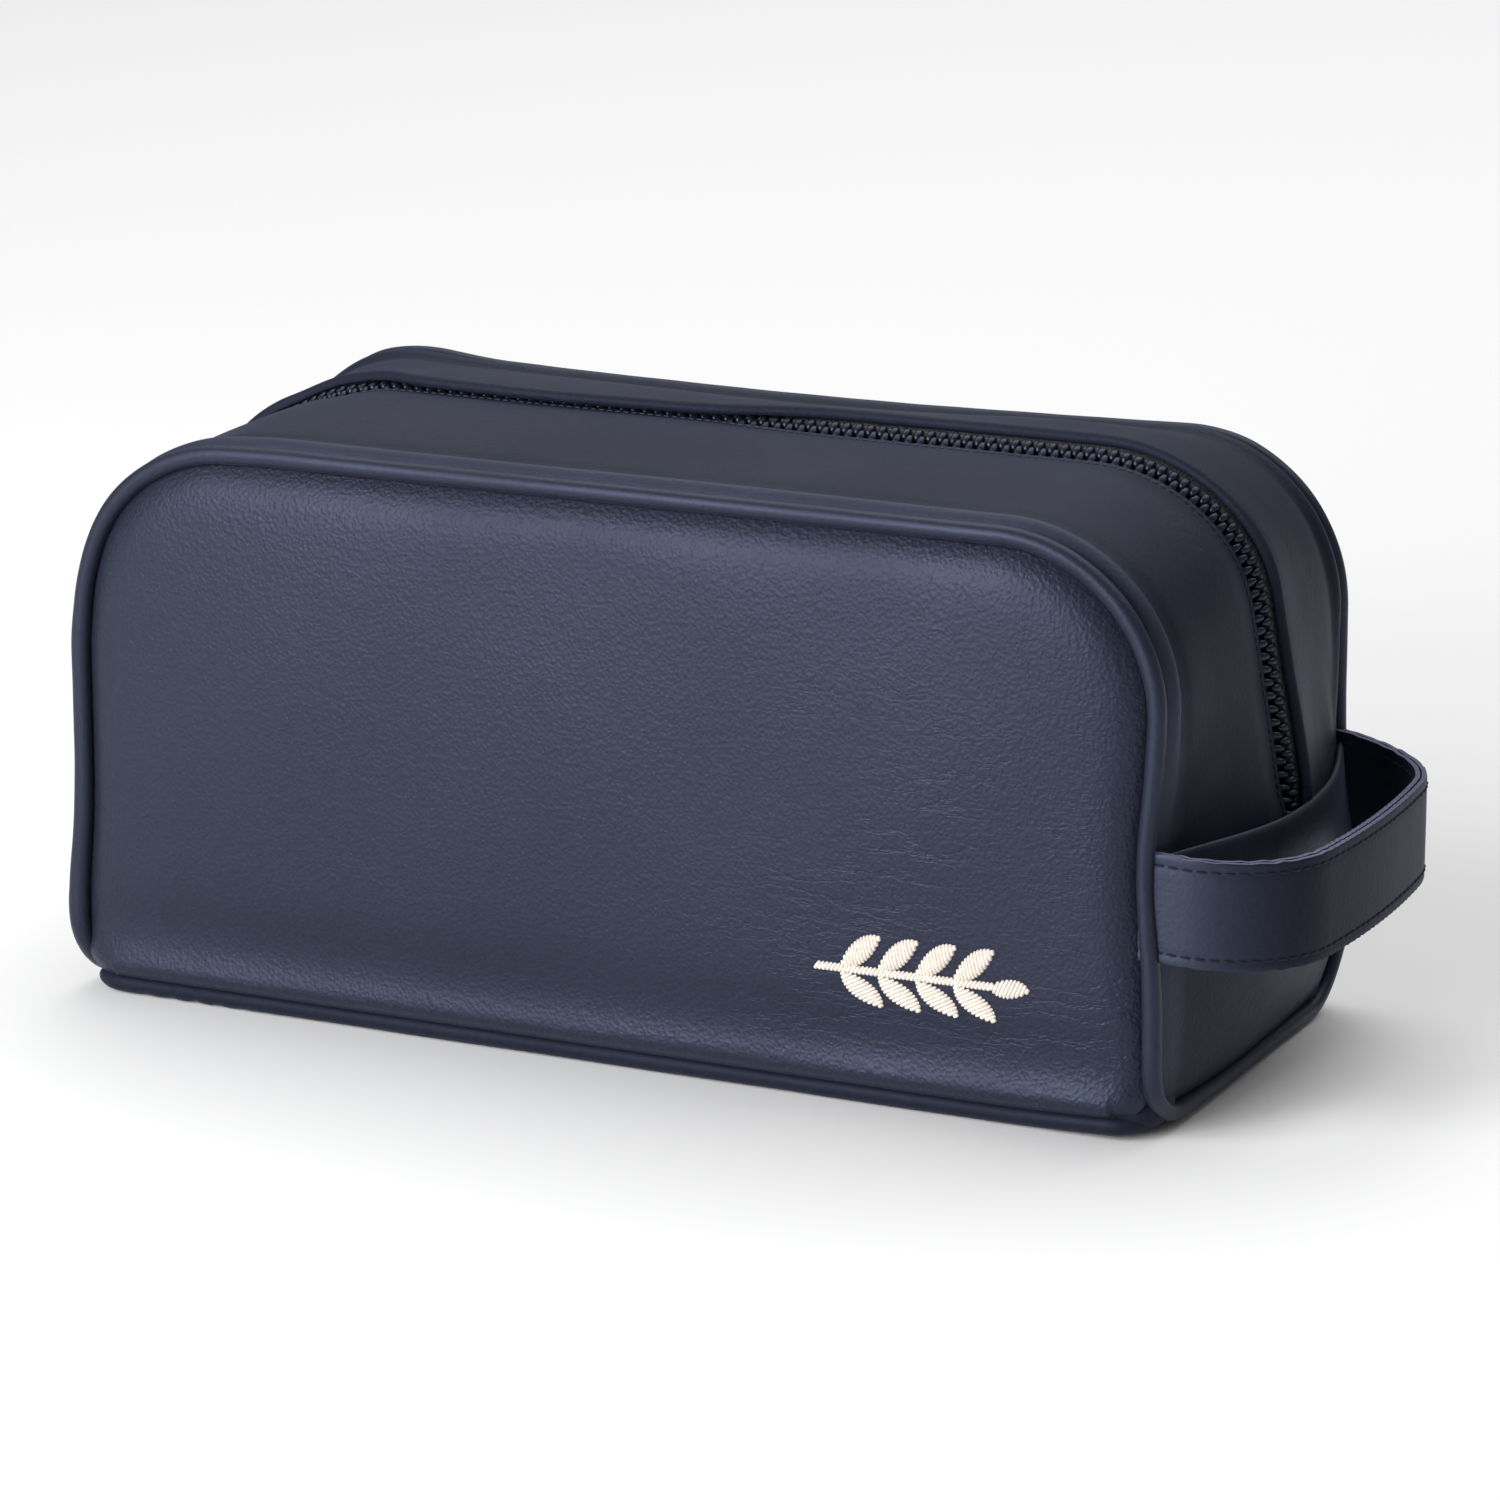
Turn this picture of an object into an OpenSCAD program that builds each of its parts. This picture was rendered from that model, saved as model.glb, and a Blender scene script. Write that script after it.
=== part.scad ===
// Shaving kit bag: a padded leather wash bag with a zip over the top and a loop handle on one end.
// X runs along the length with the handle at +X, the front face looks to -Y, and Z is up.
// The origin is the centre of the flat base, on the surface that the bag stands on.
// "Offset" means a distance outwards from the side outline, and "inset" a distance inwards.

/* [Body] */
// Length between the two end seams
body_len = 270; // [230:1:320]
// Depth between the front seam and the back seam
body_dep = 114; // [100:1:140]
// Height of the side outline
body_hgt = 134; // [124:1:170]
// Radius of the outline's two top corners
corner_r = 38; // [30:1:44]
// How far the ends and the top bulge past the outline at mid depth
bulge = 7; // [5:0.5:9]
// How far the front and back panels crown past their seams
crown = 5.5; // [4:0.5:7]
// Width of the sloping rim of a crowned panel
rim = 14; // [10:1:17]

/* [Leather] */
// Thickness of the outer leather
leather = 1.6; // [1.2:0.1:1.6]
// Thickness of the lining
lining = 0.8; // [0.5:0.1:0.8]
// Outer radius of the piping
piping_r = 2.2; // [1.8:0.1:2.2]
// Radius of the filler inside the piping
core_r = 1.15; // [0.8:0.05:1.2]
// Radius of the end piping's bend at the base
base_bend = 16; // [10:0.5:18]

/* [Opening walls] */
// Height of the line about which the front and back walls fold open
fold_z = 66; // [62:1:70]
// Gap between a fixed piece and the piece that folds
fold_gap = 0.3; // [0.3:0.05:0.6]

/* [Zip] */
// Distance from one tooth to the next on one row
tooth_pitch = 3; // [2.5:0.1:4]
// Width of one row of teeth
tooth_w = 2.65; // [2.3:0.05:2.65]
// Length of one tooth along the zip
tooth_len = 1.5; // [1.2:0.1:1.8]
// Half of the gap between the two leather edges beside the zip
zip_half = 5.5; // [5.4:0.1:7]
// Width of the slider
slider_w = 9; // [8.8:0.1:9.4]
// Length of the slider
slider_len = 11; // [9:0.5:12]
// Height of the parked slider's lower edge
park_z = 47; // [47:0.5:48]

/* [Handle] */
// Width of the strap
strap_w = 24.5; // [20:0.5:26]
// Height of the strap's middle line
strap_z = 52; // [50:0.5:53]
// Thickness of each of the strap's two layers
strap_t = 1.4; // [1.2:0.1:1.6]
// Radius of the strap's tight bends beside the seams
strap_bend = 28; // [28:1:36]
// Angle that each tight bend turns through
strap_turn = 84; // [78:1:86]
// Angle above level at which the loop rests
rest_tilt = 0; // [-4:1:12]

/* [Hidden] */
$fn = 96;
half_len = body_len / 2;
half_dep = body_dep / 2;
bulge_r = (half_dep * half_dep + bulge * bulge) / (2 * bulge);
low_top = fold_z - fold_gap / 2;
high_bottom = fold_z + fold_gap / 2;
piping_gap = 0.2;
panel_inset = piping_r + piping_gap;
seam_edge = half_dep - panel_inset;
panel_bottom = 5;
base_corner_r = 12;
skin_gap = 0.1;
thin = 0.1;
padding_back = 3.6;
tape_inset = leather + skin_gap;
tape_t = 0.5;
tape_outer = 14;
row_gap = 0.35;
tooth_inset = [0.6, 3.2];
tooth_edge = row_gap + tooth_w;
gusset_lining_inset = 2.4;
end_lining_inset = 4.9;
end_lining_z = 13;
notch_z = 42;
tail_bottom = 47.5;
navy = [0.27, 0.29, 0.37];
dark_navy = [0.18, 0.19, 0.25];
lining_blue = [0.30, 0.33, 0.42];
foam = [0.85, 0.85, 0.83];
dark_metal = [0.25, 0.25, 0.27];
tooth_black = [0.05, 0.05, 0.07];
cream = [0.95, 0.90, 0.84];
strap_x = half_len + 1.7;
strap_root_x = half_len + piping_r + 0.1;
strap_y = half_dep - 1.5;
strap_arc_r = strap_bend + (strap_y - strap_bend) / cos(strap_turn);
strap_arc_x = strap_x - (strap_arc_r - strap_bend) * sin(strap_turn);
tilt_x = half_len + 2;
root_r = 12.5;
root_clear = 6.5;
pin_x = half_len + bulge + 3.6;
pin_z = park_z + 8;
pin_r = 0.8;

// ---- Shared shapes ----

// How far the bulged side stands past the outline at depth y
function offset_at(y) = sqrt(bulge_r * bulge_r - y * y) - (bulge_r - bulge);

module both_ends() {
  children();
  mirror([1, 0, 0]) children();
}

module to_back() mirror([0, 1, 0]) children();

module to_left() mirror([1, 0, 0]) children();

// A band of the bulged side in section: x is the offset and y is the depth.
module band(inset, t, y0, y1) {
  intersection() {
    translate([bulge - bulge_r, 0]) difference() {
      circle(r = bulge_r - inset, $fn = 400);
      circle(r = bulge_r - inset - t, $fn = 400);
    }
    translate([-20, y0]) square([40, y1 - y0]);
  }
}

// Carries a section up one end, round both top corners and down the other end.
module arch(z0 = high_bottom) {
  translate([half_len - corner_r, 0, body_hgt]) rotate([0, -90, 0])
    linear_extrude(height = body_len - 2 * corner_r) children();
  both_ends() {
    translate([half_len, 0, z0]) linear_extrude(height = body_hgt - corner_r - z0) children();
    translate([half_len - corner_r, 0, body_hgt - corner_r])
      rotate([-90, 0, 0]) rotate([0, 0, -90])
      rotate_extrude(angle = 90) translate([corner_r, 0]) children();
  }
}

// Thin slices of the upper side outline, for hulls: inset from the outline, at depth y.
module upper_slice(inset, y, z0) {
  for (side = [-1, 1]) {
    translate([side * (half_len - corner_r), y, body_hgt - corner_r])
      rotate([-90, 0, 0]) cylinder(r = corner_r - inset, h = thin, $fn = 48);
    translate([side * (half_len - inset) - thin / 2, y, z0]) cube([thin, thin, thin]);
  }
}

module lower_slice(inset, y, z0, z1)
  translate([inset - half_len, y, z0]) cube([body_len - 2 * inset, thin, z1 - z0]);

// Keeps only what stands above height z0.
module above(z0) intersection() {
  children();
  translate([-half_len, -body_dep, z0]) cube([body_len, 2 * body_dep, body_hgt]);
}

// The crowned upper half of the front panel, moved inwards by depth.
module upper_pillow(depth, z0) above(z0) {
  hull() {
    upper_slice(panel_inset, depth - half_dep, z0);
    upper_slice(panel_inset + rim, depth - half_dep - crown, z0);
  }
}

module lower_pillow(depth, z1) {
  hull() {
    lower_slice(panel_inset, depth - half_dep, panel_bottom, z1);
    lower_slice(panel_inset + rim, depth - half_dep - crown, panel_bottom + rim, z1);
  }
}

// ---- Front and back panels: leather, padding and lining, each in a lower and an upper leaf ----

module panel_upper() color(navy) difference() {
  upper_pillow(0, high_bottom);
  upper_pillow(leather, high_bottom - 1);
}

module panel_lower() color(navy) difference() {
  lower_pillow(0, low_top);
  lower_pillow(leather, low_top + 1);
}

module padding_upper() color(foam) above(high_bottom) {
  hull() {
    upper_slice(panel_inset, padding_back - thin - half_dep, high_bottom);
    upper_slice(panel_inset, leather + skin_gap - half_dep, high_bottom);
    upper_slice(panel_inset + rim, leather + skin_gap - half_dep - crown, high_bottom);
  }
}

module padding_lower() color(foam) {
  hull() {
    lower_slice(panel_inset, padding_back - thin - half_dep, panel_bottom, low_top);
    lower_slice(panel_inset, leather + skin_gap - half_dep, panel_bottom, low_top);
    lower_slice(panel_inset + rim, leather + skin_gap - half_dep - crown, panel_bottom + rim, low_top);
  }
}

module lining_upper() color(lining_blue) {
  inset = 4;
  y0 = padding_back + skin_gap - half_dep;
  top_z = body_hgt - corner_r;
  translate([inset - half_len, y0, high_bottom]) cube([body_len - 2 * inset, lining, top_z - high_bottom]);
  translate([corner_r - half_len, y0, top_z]) cube([body_len - 2 * corner_r, lining, corner_r - inset]);
  both_ends() translate([half_len - corner_r, y0, top_z]) rotate([-90, 0, 0]) rotate([0, 0, -90])
    rotate_extrude(angle = 90) square([corner_r - inset, lining]);
}

module lining_lower() color(lining_blue) {
  inset = 4;
  translate([inset - half_len, padding_back + skin_gap - half_dep, panel_bottom + 1])
    cube([body_len - 2 * inset, lining, low_top - panel_bottom - 1]);
}

module front_panel_upper() panel_upper();
module front_panel_lower() panel_lower();
module front_padding_upper() padding_upper();
module front_padding_lower() padding_lower();
module front_lining_upper() lining_upper();
module front_lining_lower() lining_lower();
module back_panel_upper() to_back() panel_upper();
module back_panel_lower() to_back() panel_lower();
module back_padding_upper() to_back() padding_upper();
module back_padding_lower() to_back() padding_lower();
module back_lining_upper() to_back() lining_upper();
module back_lining_lower() to_back() lining_lower();

// ---- Base ----

module base_panel() color(dark_navy) linear_extrude(height = 1.8)
  offset(r = base_corner_r)
  square([body_len - 2 * (panel_inset + base_corner_r), 2 * (seam_edge - base_corner_r)], center = true);

module base_board() color("tan") translate([-128, -50, 1.9]) cube([256, 100, 2]);

module base_lining() color(lining_blue) translate([-128, -50, 4]) cube([256, 100, lining]);

// ---- End panels ----

// The filled shape of an end panel, moved inwards by depth and grown by extra at its edges.
module end_pillow(depth, extra) {
  edge = seam_edge + extra;
  start_z = piping_r + base_bend + 0.8;
  foot_half = 46;
  hull() {
    translate([half_len - depth, 0, start_z]) linear_extrude(height = low_top + extra - start_z)
      polygon(concat(
        [[-leather, -edge], [-leather, edge]],
        [for (k = [8:-1:-8]) [offset_at(edge * k / 8), edge * k / 8]]
      ));
    translate([half_len - leather - depth, -foot_half - extra, panel_bottom + 0.5 - extra])
      cube([leather, 2 * (foot_half + extra), 1]);
  }
}

// The right end's leather, cut away where the zip runs down into it.
module end_panel() color(dark_navy) difference() {
  end_pillow(0, 0);
  end_pillow(leather, 1);
  translate([half_len - 10, -zip_half, notch_z]) cube([30, 2 * zip_half, 40]);
}

module end_lining() color(lining_blue)
  translate([half_len, 0, end_lining_z]) linear_extrude(height = low_top - end_lining_z - 0.35)
    band(end_lining_inset, lining, -50, 50);

module right_end_panel() end_panel();
module left_end_panel() to_left() end_panel();
module right_end_lining() end_lining();
module left_end_lining() to_left() end_lining();

// ---- Piping: a leather tube round a filler, on every seam of the outline ----

module ring(r_out, r_in) difference() {
  circle(r = r_out);
  if (r_in > 0) circle(r = r_in);
}

// Up the front seam of one end from the base, and the same up the back seam, joined along the base.
module end_run(r_out, r_in) {
  low = piping_r + 0.3;
  for (side = [0, 1]) mirror([0, side, 0]) {
    translate([half_len, -half_dep, low + base_bend])
      linear_extrude(height = low_top - low - base_bend) ring(r_out, r_in);
    translate([half_len, base_bend - half_dep, low + base_bend])
      rotate([0, 90, 0]) rotate([0, 0, -90]) rotate_extrude(angle = 90)
      translate([base_bend, 0]) ring(r_out, r_in);
  }
  translate([half_len, half_dep - base_bend, low]) rotate([90, 0, 0])
    linear_extrude(height = 2 * (half_dep - base_bend)) ring(r_out, r_in);
}

module base_run(r_out, r_in)
  translate([-131.5, -half_dep, piping_r + 0.3]) rotate([0, 90, 0])
    linear_extrude(height = 263) ring(r_out, r_in);

module arch_run(r_out, r_in) arch() translate([0, -half_dep]) ring(r_out, r_in);

cover_in = piping_r - 0.9;
module right_end_piping() color(navy) end_run(piping_r, cover_in);
module left_end_piping() color(navy) to_left() end_run(piping_r, cover_in);
module right_end_piping_core() color("white") end_run(core_r, 0);
module left_end_piping_core() color("white") to_left() end_run(core_r, 0);
module front_base_piping() color(navy) base_run(piping_r, cover_in);
module back_base_piping() color(navy) to_back() base_run(piping_r, cover_in);
module front_base_piping_core() color("white") base_run(core_r, 0);
module back_base_piping_core() color("white") to_back() base_run(core_r, 0);
module front_arch_piping() color(navy) arch_run(piping_r, cover_in);
module back_arch_piping() color(navy) to_back() arch_run(piping_r, cover_in);
module front_arch_piping_core() color("white") arch_run(core_r, 0);
module back_arch_piping_core() color("white") to_back() arch_run(core_r, 0);

// ---- Gusset over the top ----

module gusset() color(navy) arch() band(0, leather, -seam_edge, -zip_half);
module gusset_lining() color(lining_blue) arch() band(gusset_lining_inset, lining, -52.2, -6);
module front_gusset() gusset();
module back_gusset() to_back() gusset();
module front_gusset_lining() gusset_lining();
module back_gusset_lining() to_back() gusset_lining();

// ---- Zip ----

module tape_section() band(tape_inset, tape_t, -tape_outer, -tooth_edge - 0.05);
module zip_tape() color(tooth_black) arch() tape_section();
module front_zip_tape() zip_tape();
module back_zip_tape() to_back() zip_tape();

// One tooth, with its middle on the outline's plane and its length along Z.
module tooth()
  translate([bulge - tooth_inset[1], -tooth_edge, -tooth_len / 2])
    cube([tooth_inset[1] - tooth_inset[0], tooth_w, tooth_len]);

// A row of teeth up the right end from z0 to z1, shifted by part of a pitch.
module tooth_column(z0, z1, shift) {
  count = floor((z1 - z0 - tooth_len - shift) / tooth_pitch);
  for (k = [0:count])
    translate([half_len, 0, z0 + tooth_len / 2 + shift + k * tooth_pitch]) tooth();
}

// The whole moving row: both ends, both top corners and the top.
module tooth_row(shift) {
  corner_z = body_hgt - corner_r;
  bend_count = round((corner_r + bulge) * PI / 2 / tooth_pitch);
  top_count = round((body_len - 2 * corner_r) / tooth_pitch);
  top_pitch = (body_len - 2 * corner_r) / top_count;
  both_ends() {
    tooth_column(high_bottom, corner_z, shift);
    for (k = [0:bend_count - 1])
      translate([half_len - corner_r, 0, corner_z])
        rotate([0, -(k + 0.4 + shift / tooth_pitch) * 90 / bend_count, 0])
        translate([corner_r, 0, 0]) tooth();
  }
  for (k = [0:top_count - 1])
    translate([(k + 0.3 + shift / tooth_pitch) * top_pitch - (half_len - corner_r), 0, body_hgt])
      rotate([0, -90, 0]) tooth();
}

module front_zip_teeth() color(tooth_black) tooth_row(0);
module back_zip_teeth() color(tooth_black) to_back() tooth_row(tooth_pitch / 2 - 0.6);

module zip_tail_tape() color(tooth_black)
  for (side = [0, 1]) mirror([0, side, 0]) both_ends()
    translate([half_len, 0, notch_z + 1]) linear_extrude(height = low_top - notch_z - 1) tape_section();

module zip_tail_teeth() color(tooth_black)
  both_ends() {
    tooth_column(tail_bottom, low_top, 0);
    to_back() tooth_column(tail_bottom, low_top, tooth_pitch / 2 - 0.6);
  }

// Two clips that stop the parked slider, one on each row of the left end
module zip_top_stops() color(dark_metal) to_left()
  for (side = [0, 1]) mirror([0, side, 0])
    translate([half_len + bulge - 3.3, -tooth_edge, notch_z + 1.5]) cube([2.9, tooth_w - 0.1, 3]);

// One clip across both rows at the right end, under the patch
module zip_bottom_stop() color(dark_metal)
  translate([half_len + bulge - 3.3, -tooth_edge, notch_z + 1.5]) cube([2.9, 2 * tooth_edge, 3.5]);

// Slider: two plates joined by a thin post, with flanges outside the teeth and a bail on top.
module zip_slider() color(dark_metal) to_left() {
  face = half_len + bulge;
  plate_t = 1.6;
  flange_in = 3.4;
  flange_w = slider_w / 2 - flange_in;
  translate([face - 0.2, -slider_w / 2, park_z]) cube([plate_t, slider_w, slider_len]);
  translate([face - 4.6, -slider_w / 2, park_z]) cube([1.1, slider_w, slider_len]);
  translate([face - 3.8, -0.2, park_z]) cube([3.8, 0.4, 2]);
  for (side = [0, 1]) mirror([0, side, 0]) {
    translate([face - 1.3, flange_in, park_z]) cube([1.3, flange_w, slider_len]);
    translate([face - 3.8, flange_in, park_z]) cube([1.3, flange_w, slider_len]);
    translate([face + 1.2, 2.2, pin_z - 1.4]) cube([3.4, 1, 2.8]);
  }
  translate([pin_x, 2.6, pin_z]) rotate([90, 0, 0]) cylinder(r = pin_r, h = 5.2);
}

// Wire link of the pull: an eye on the bail's pin, a neck and a slotted frame for the tab.
module pull_link() color(dark_metal) to_left() difference() {
  union() {
    translate([pin_x, 1.8, pin_z]) rotate([90, 0, 0]) cylinder(r = 1.9, h = 3.6);
    translate([pin_x - 0.6, -1.4, pin_z - 10]) cube([1.2, 2.8, 9]);
    translate([pin_x - 0.6, -6.5, pin_z - 15]) cube([1.2, 13, 6]);
  }
  translate([pin_x, 3, pin_z]) rotate([90, 0, 0]) cylinder(r = pin_r + 0.3, h = 6);
  translate([pin_x - 2, -4.8, pin_z - 13.4]) cube([4, 9.6, 2.8]);
}

// Leather tab, folded round the frame's lower bar
module pull_tab() color(navy) to_left() difference() {
  union() {
    translate([pin_x - 1.4, -4.6, pin_z - 39]) cube([2.8, 9.2, 27.2]);
    translate([pin_x - 1.4, 0, pin_z - 39]) rotate([0, 90, 0]) cylinder(r = 4.6, h = 2.8);
  }
  translate([pin_x - 0.75, -10, pin_z - 15.15]) cube([1.5, 20, 1.9]);
}

// ---- Handle ----

// The strap's plan: tight bends beside the seams, joined by one wide arc, at a distance from its middle line.
function tight_point(turned, off) = [
  strap_x + (strap_bend + off) * sin(turned),
  strap_bend - strap_y - (strap_bend + off) * cos(turned)
];
function wide_point(a, off) = [strap_arc_x + (strap_arc_r + off) * cos(a), (strap_arc_r + off) * sin(a)];
function strap_edge(off) = concat(
  [for (k = [0:7]) tight_point(strap_turn * k / 8, off)],
  [for (k = [-8:8]) wide_point((90 - strap_turn) * k / 8, off)],
  [for (k = [7:-1:0]) let (p = tight_point(strap_turn * k / 8, off)) [p[0], -p[1]]]
);
function backwards(list) = [for (k = [len(list) - 1:-1:0]) list[k]];

module strap_plan(side, t, z_half)
  translate([0, 0, strap_z - z_half]) linear_extrude(height = 2 * z_half)
    polygon(concat(strap_edge(side), backwards(strap_edge(side + t))));

// Along Y through the tilt axis
module tilt_cylinder(r) translate([tilt_x, 80, strap_z]) rotate([90, 0, 0]) cylinder(r = r, h = 160);

module strap_root(side) color(navy) intersection() {
  strap_plan(side, strap_t, strap_w / 2);
  tilt_cylinder(root_r);
  translate([strap_root_x, -80, 0]) cube([40, 160, 100]);
}

module strap_loop(side) color(navy)
  translate([tilt_x, 0, strap_z]) rotate([0, -rest_tilt, 0]) translate([-tilt_x, 0, -strap_z])
  difference() {
    strap_plan(side, strap_t, strap_w / 2);
    tilt_cylinder(root_r + 0.3);
    translate([strap_root_x - 10, -80, 0]) cube([tilt_x + root_clear - strap_root_x + 10, 160, 100]);
  }

module handle_root_outer() strap_root(0.05);
module handle_root_inner() strap_root(-0.05 - strap_t);
module handle_strap_outer() strap_loop(0.05);
module handle_strap_inner() strap_loop(-0.05 - strap_t);

// Leather patch behind the handle: it covers the tail of the zip.
module handle_patch() color(navy)
  translate([half_len, 0, 36]) linear_extrude(height = low_top - 36)
    band(-leather - 0.05, leather, -54, 54);

// ---- Emblem: a plain embroidered leaf sprig ----

module leaf(length, width) {
  r = (length * length + width * width) / (4 * width);
  intersection() {
    translate([length / 2, r - width / 2]) circle(r = r);
    translate([length / 2, width / 2 - r]) circle(r = r);
  }
}

module emblem() color(cream)
  translate([82, -half_dep - crown - 0.05, 33]) rotate([90, 0, 0]) linear_extrude(height = 0.6) {
    for (k = [0:3]) for (m = [0, 1]) mirror([0, m])
      translate([k * 9 - 19, 0.9]) rotate(38) leaf(12, 4.4);
    translate([16.5, 0]) translate([0, -0.1]) leaf(9, 4);
    translate([-25, -0.5]) square([42, 1]);
  }

// ---- Slip pocket on the back lining ----

module slip_pocket() color(lining_blue)
  translate([-80, half_dep - padding_back - skin_gap - 2 * lining - 0.1, 12]) cube([160, lining, 44]);

module pocket_binding() color(navy)
  translate([-80, half_dep - padding_back - skin_gap - 2 * lining - 0.3, 56.1]) cube([160, 1.1, 5]);

base_panel();
base_board();
base_lining();
left_end_panel();
right_end_panel();
left_end_lining();
right_end_lining();
front_panel_lower();
front_padding_lower();
front_lining_lower();
back_panel_lower();
back_padding_lower();
back_lining_lower();
left_end_piping();
right_end_piping();
left_end_piping_core();
right_end_piping_core();
front_base_piping();
back_base_piping();
front_base_piping_core();
back_base_piping_core();
zip_tail_tape();
zip_tail_teeth();
zip_top_stops();
zip_bottom_stop();
handle_patch();
handle_root_outer();
handle_root_inner();
emblem();
slip_pocket();
pocket_binding();
front_panel_upper();
front_padding_upper();
front_lining_upper();
front_arch_piping();
front_arch_piping_core();
front_gusset();
front_gusset_lining();
front_zip_tape();
front_zip_teeth();
back_panel_upper();
back_padding_upper();
back_lining_upper();
back_arch_piping();
back_arch_piping_core();
back_gusset();
back_gusset_lining();
back_zip_tape();
back_zip_teeth();
zip_slider();
pull_link();
pull_tab();
handle_strap_outer();
handle_strap_inner();
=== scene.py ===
import math
import bpy
import numpy as np
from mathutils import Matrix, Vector


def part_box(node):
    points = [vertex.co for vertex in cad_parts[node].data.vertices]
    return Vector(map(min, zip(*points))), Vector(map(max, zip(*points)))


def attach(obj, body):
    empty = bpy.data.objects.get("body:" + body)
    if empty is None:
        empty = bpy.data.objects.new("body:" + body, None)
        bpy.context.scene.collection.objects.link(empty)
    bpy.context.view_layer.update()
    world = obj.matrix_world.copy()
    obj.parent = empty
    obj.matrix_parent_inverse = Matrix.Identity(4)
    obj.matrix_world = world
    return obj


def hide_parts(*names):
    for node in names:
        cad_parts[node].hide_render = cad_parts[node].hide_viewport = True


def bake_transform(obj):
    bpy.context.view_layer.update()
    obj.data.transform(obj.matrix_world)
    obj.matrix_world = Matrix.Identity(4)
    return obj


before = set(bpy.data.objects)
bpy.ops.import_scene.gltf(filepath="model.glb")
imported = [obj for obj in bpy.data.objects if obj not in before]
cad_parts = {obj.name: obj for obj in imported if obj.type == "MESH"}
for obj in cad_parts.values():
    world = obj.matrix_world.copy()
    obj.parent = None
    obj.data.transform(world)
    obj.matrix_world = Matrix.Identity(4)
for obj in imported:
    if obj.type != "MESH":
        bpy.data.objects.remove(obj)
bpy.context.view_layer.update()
MM = 0.001

# ---- Sizes shared by the pieces, in millimetres ----

HALF_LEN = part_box("left_end_piping")[0][0] / -MM - 2.2
HALF_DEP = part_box("front_base_piping")[0][1] / -MM - 2.2
TOP_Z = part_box("front_arch_piping")[1][2] / MM - 2.2
CORNER_R = 38.0
CORNER_X = HALF_LEN - CORNER_R
CORNER_Z = TOP_Z - CORNER_R
BULGE = 7.0
BULGE_R = (HALF_DEP ** 2 + BULGE ** 2) / (2 * BULGE)
PIPING_R = 2.2
LEATHER = 1.6
SEAM_DEPTH = 54.8
PANEL_EDGE = 1.5
PANEL_FOOT = 3.6
FOOT_R = 7.0
PIPING_Z = 2.5
BASE_BEND = 16.0
JOIN_Z = 24.0
TAIL_Z = 44.0
ZIP_LEAN = math.radians(32.0)
LEAN_SPREAD = {"front": 15.0, "back": 24.0}
ROLL_SHARE = {"front": 1.0, "back": 0.7}
WALLS = (("front", -1.0), ("back", 1.0))
ENDS = (("left", -1.0), ("right", 1.0))
ZIP_STITCH = {"front": 3.9, "back": 8.6}
STITCH_ARC = 0.12
FILLER_R = 1.1


# ---- Small helpers ----

def ease(low, high, t):
    """0 below low, 1 above high, and 3u^2 - 2u^3 between them."""
    u = np.clip((t - low) / (high - low), 0.0, 1.0)
    return u * u * (3.0 - 2.0 * u)


def bump_at(t, middle, width):
    """exp(-((t - middle) / width)^2), a smooth hump of height 1."""
    return np.exp(-((t - middle) / width) ** 2)


def place(x, y, z):
    """Stacks three arrays of the same shape into points."""
    return np.stack(np.broadcast_arrays(x, y, z), axis=-1).astype(float)


def unit(v):
    return v / np.maximum(np.linalg.norm(v, axis=-1, keepdims=True), 1e-9)


def bulge_at(y):
    """sqrt(R^2 - y^2) - (R - bulge): how far the ends and top stand past the outline at depth y."""
    return np.sqrt(BULGE_R ** 2 - np.clip(y, -HALF_DEP, HALF_DEP) ** 2) - (BULGE_R - BULGE)


def settle(points):
    """The sags and swellings of a soft bag, added to points of every body piece.

    Each is a product of smooth humps and steps: a waist in the right front seam, a left front seam
    that leans out, a fuller right end low down, a slack left top corner, a back top seam that sags
    between its corners, a low hump behind the zip, and front corners that lift off the base.
    """
    x, y, z = points[..., 0], points[..., 1], points[..., 2]
    right = np.clip((x - 95.0) / 40.0, 0.0, 1.2) ** 2
    left = np.clip((-x - 95.0) / 40.0, 0.0, 1.2) ** 2
    near = ease(10.0, 57.0, -y)
    far = ease(10.0, 57.0, y)
    across = np.clip(1.0 - (y / 58.0) ** 2, 0.0, 1.0) ** 1.5
    dx = -2.3 * right * near * bump_at(z, 62.0, 20.0)
    dx = dx + right * across * (3.6 * bump_at(z, 52.0, 26.0) - 2.0 * bump_at(z, 104.0, 16.0))
    dx = dx + 3.6 * right * far * bump_at(z, 34.0, 20.0)
    dx = dx - left * near * (1.1 * ease(106.0, 84.0, z) + 2.5 * bump_at(z, 19.0, 20.0))
    high = ease(80.0, 134.0, z)
    middle = np.clip(1.0 - (x / 112.0) ** 2, 0.0, 1.0)
    dz = high * ease(8.0, 57.0, y) * (0.3 + 0.5 * ease(0.0, 90.0, x) - 1.9 * middle)
    dz = dz + 1.6 * high * bump_at(x, 80.0, 34.0) * bump_at(y, 26.0, 15.0)
    dz = dz + 0.5 * high * np.sin(x / 23.0 + 0.7) * bump_at(y, -30.0, 16.0)
    corner = ease(80.0, 116.0, -x) * ease(80.0, 112.0, z)
    slack = corner * (6.8 * across + 1.2 * near - 2.4 * far)
    dx = dx - 3.2 * corner * far
    cx, cz = x + CORNER_X, z - CORNER_Z
    reach = np.maximum(np.hypot(cx, cz), 1.0)
    dx = dx - slack * np.minimum(cx, 0.0) / reach
    dz = dz - slack * np.maximum(cz, 0.0) / reach
    dz = dz + 1.3 * np.minimum(right, 1.0) * near * ease(14.0, 2.0, z)
    return points + place(dx, 0.0 * dx, dz)


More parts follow.
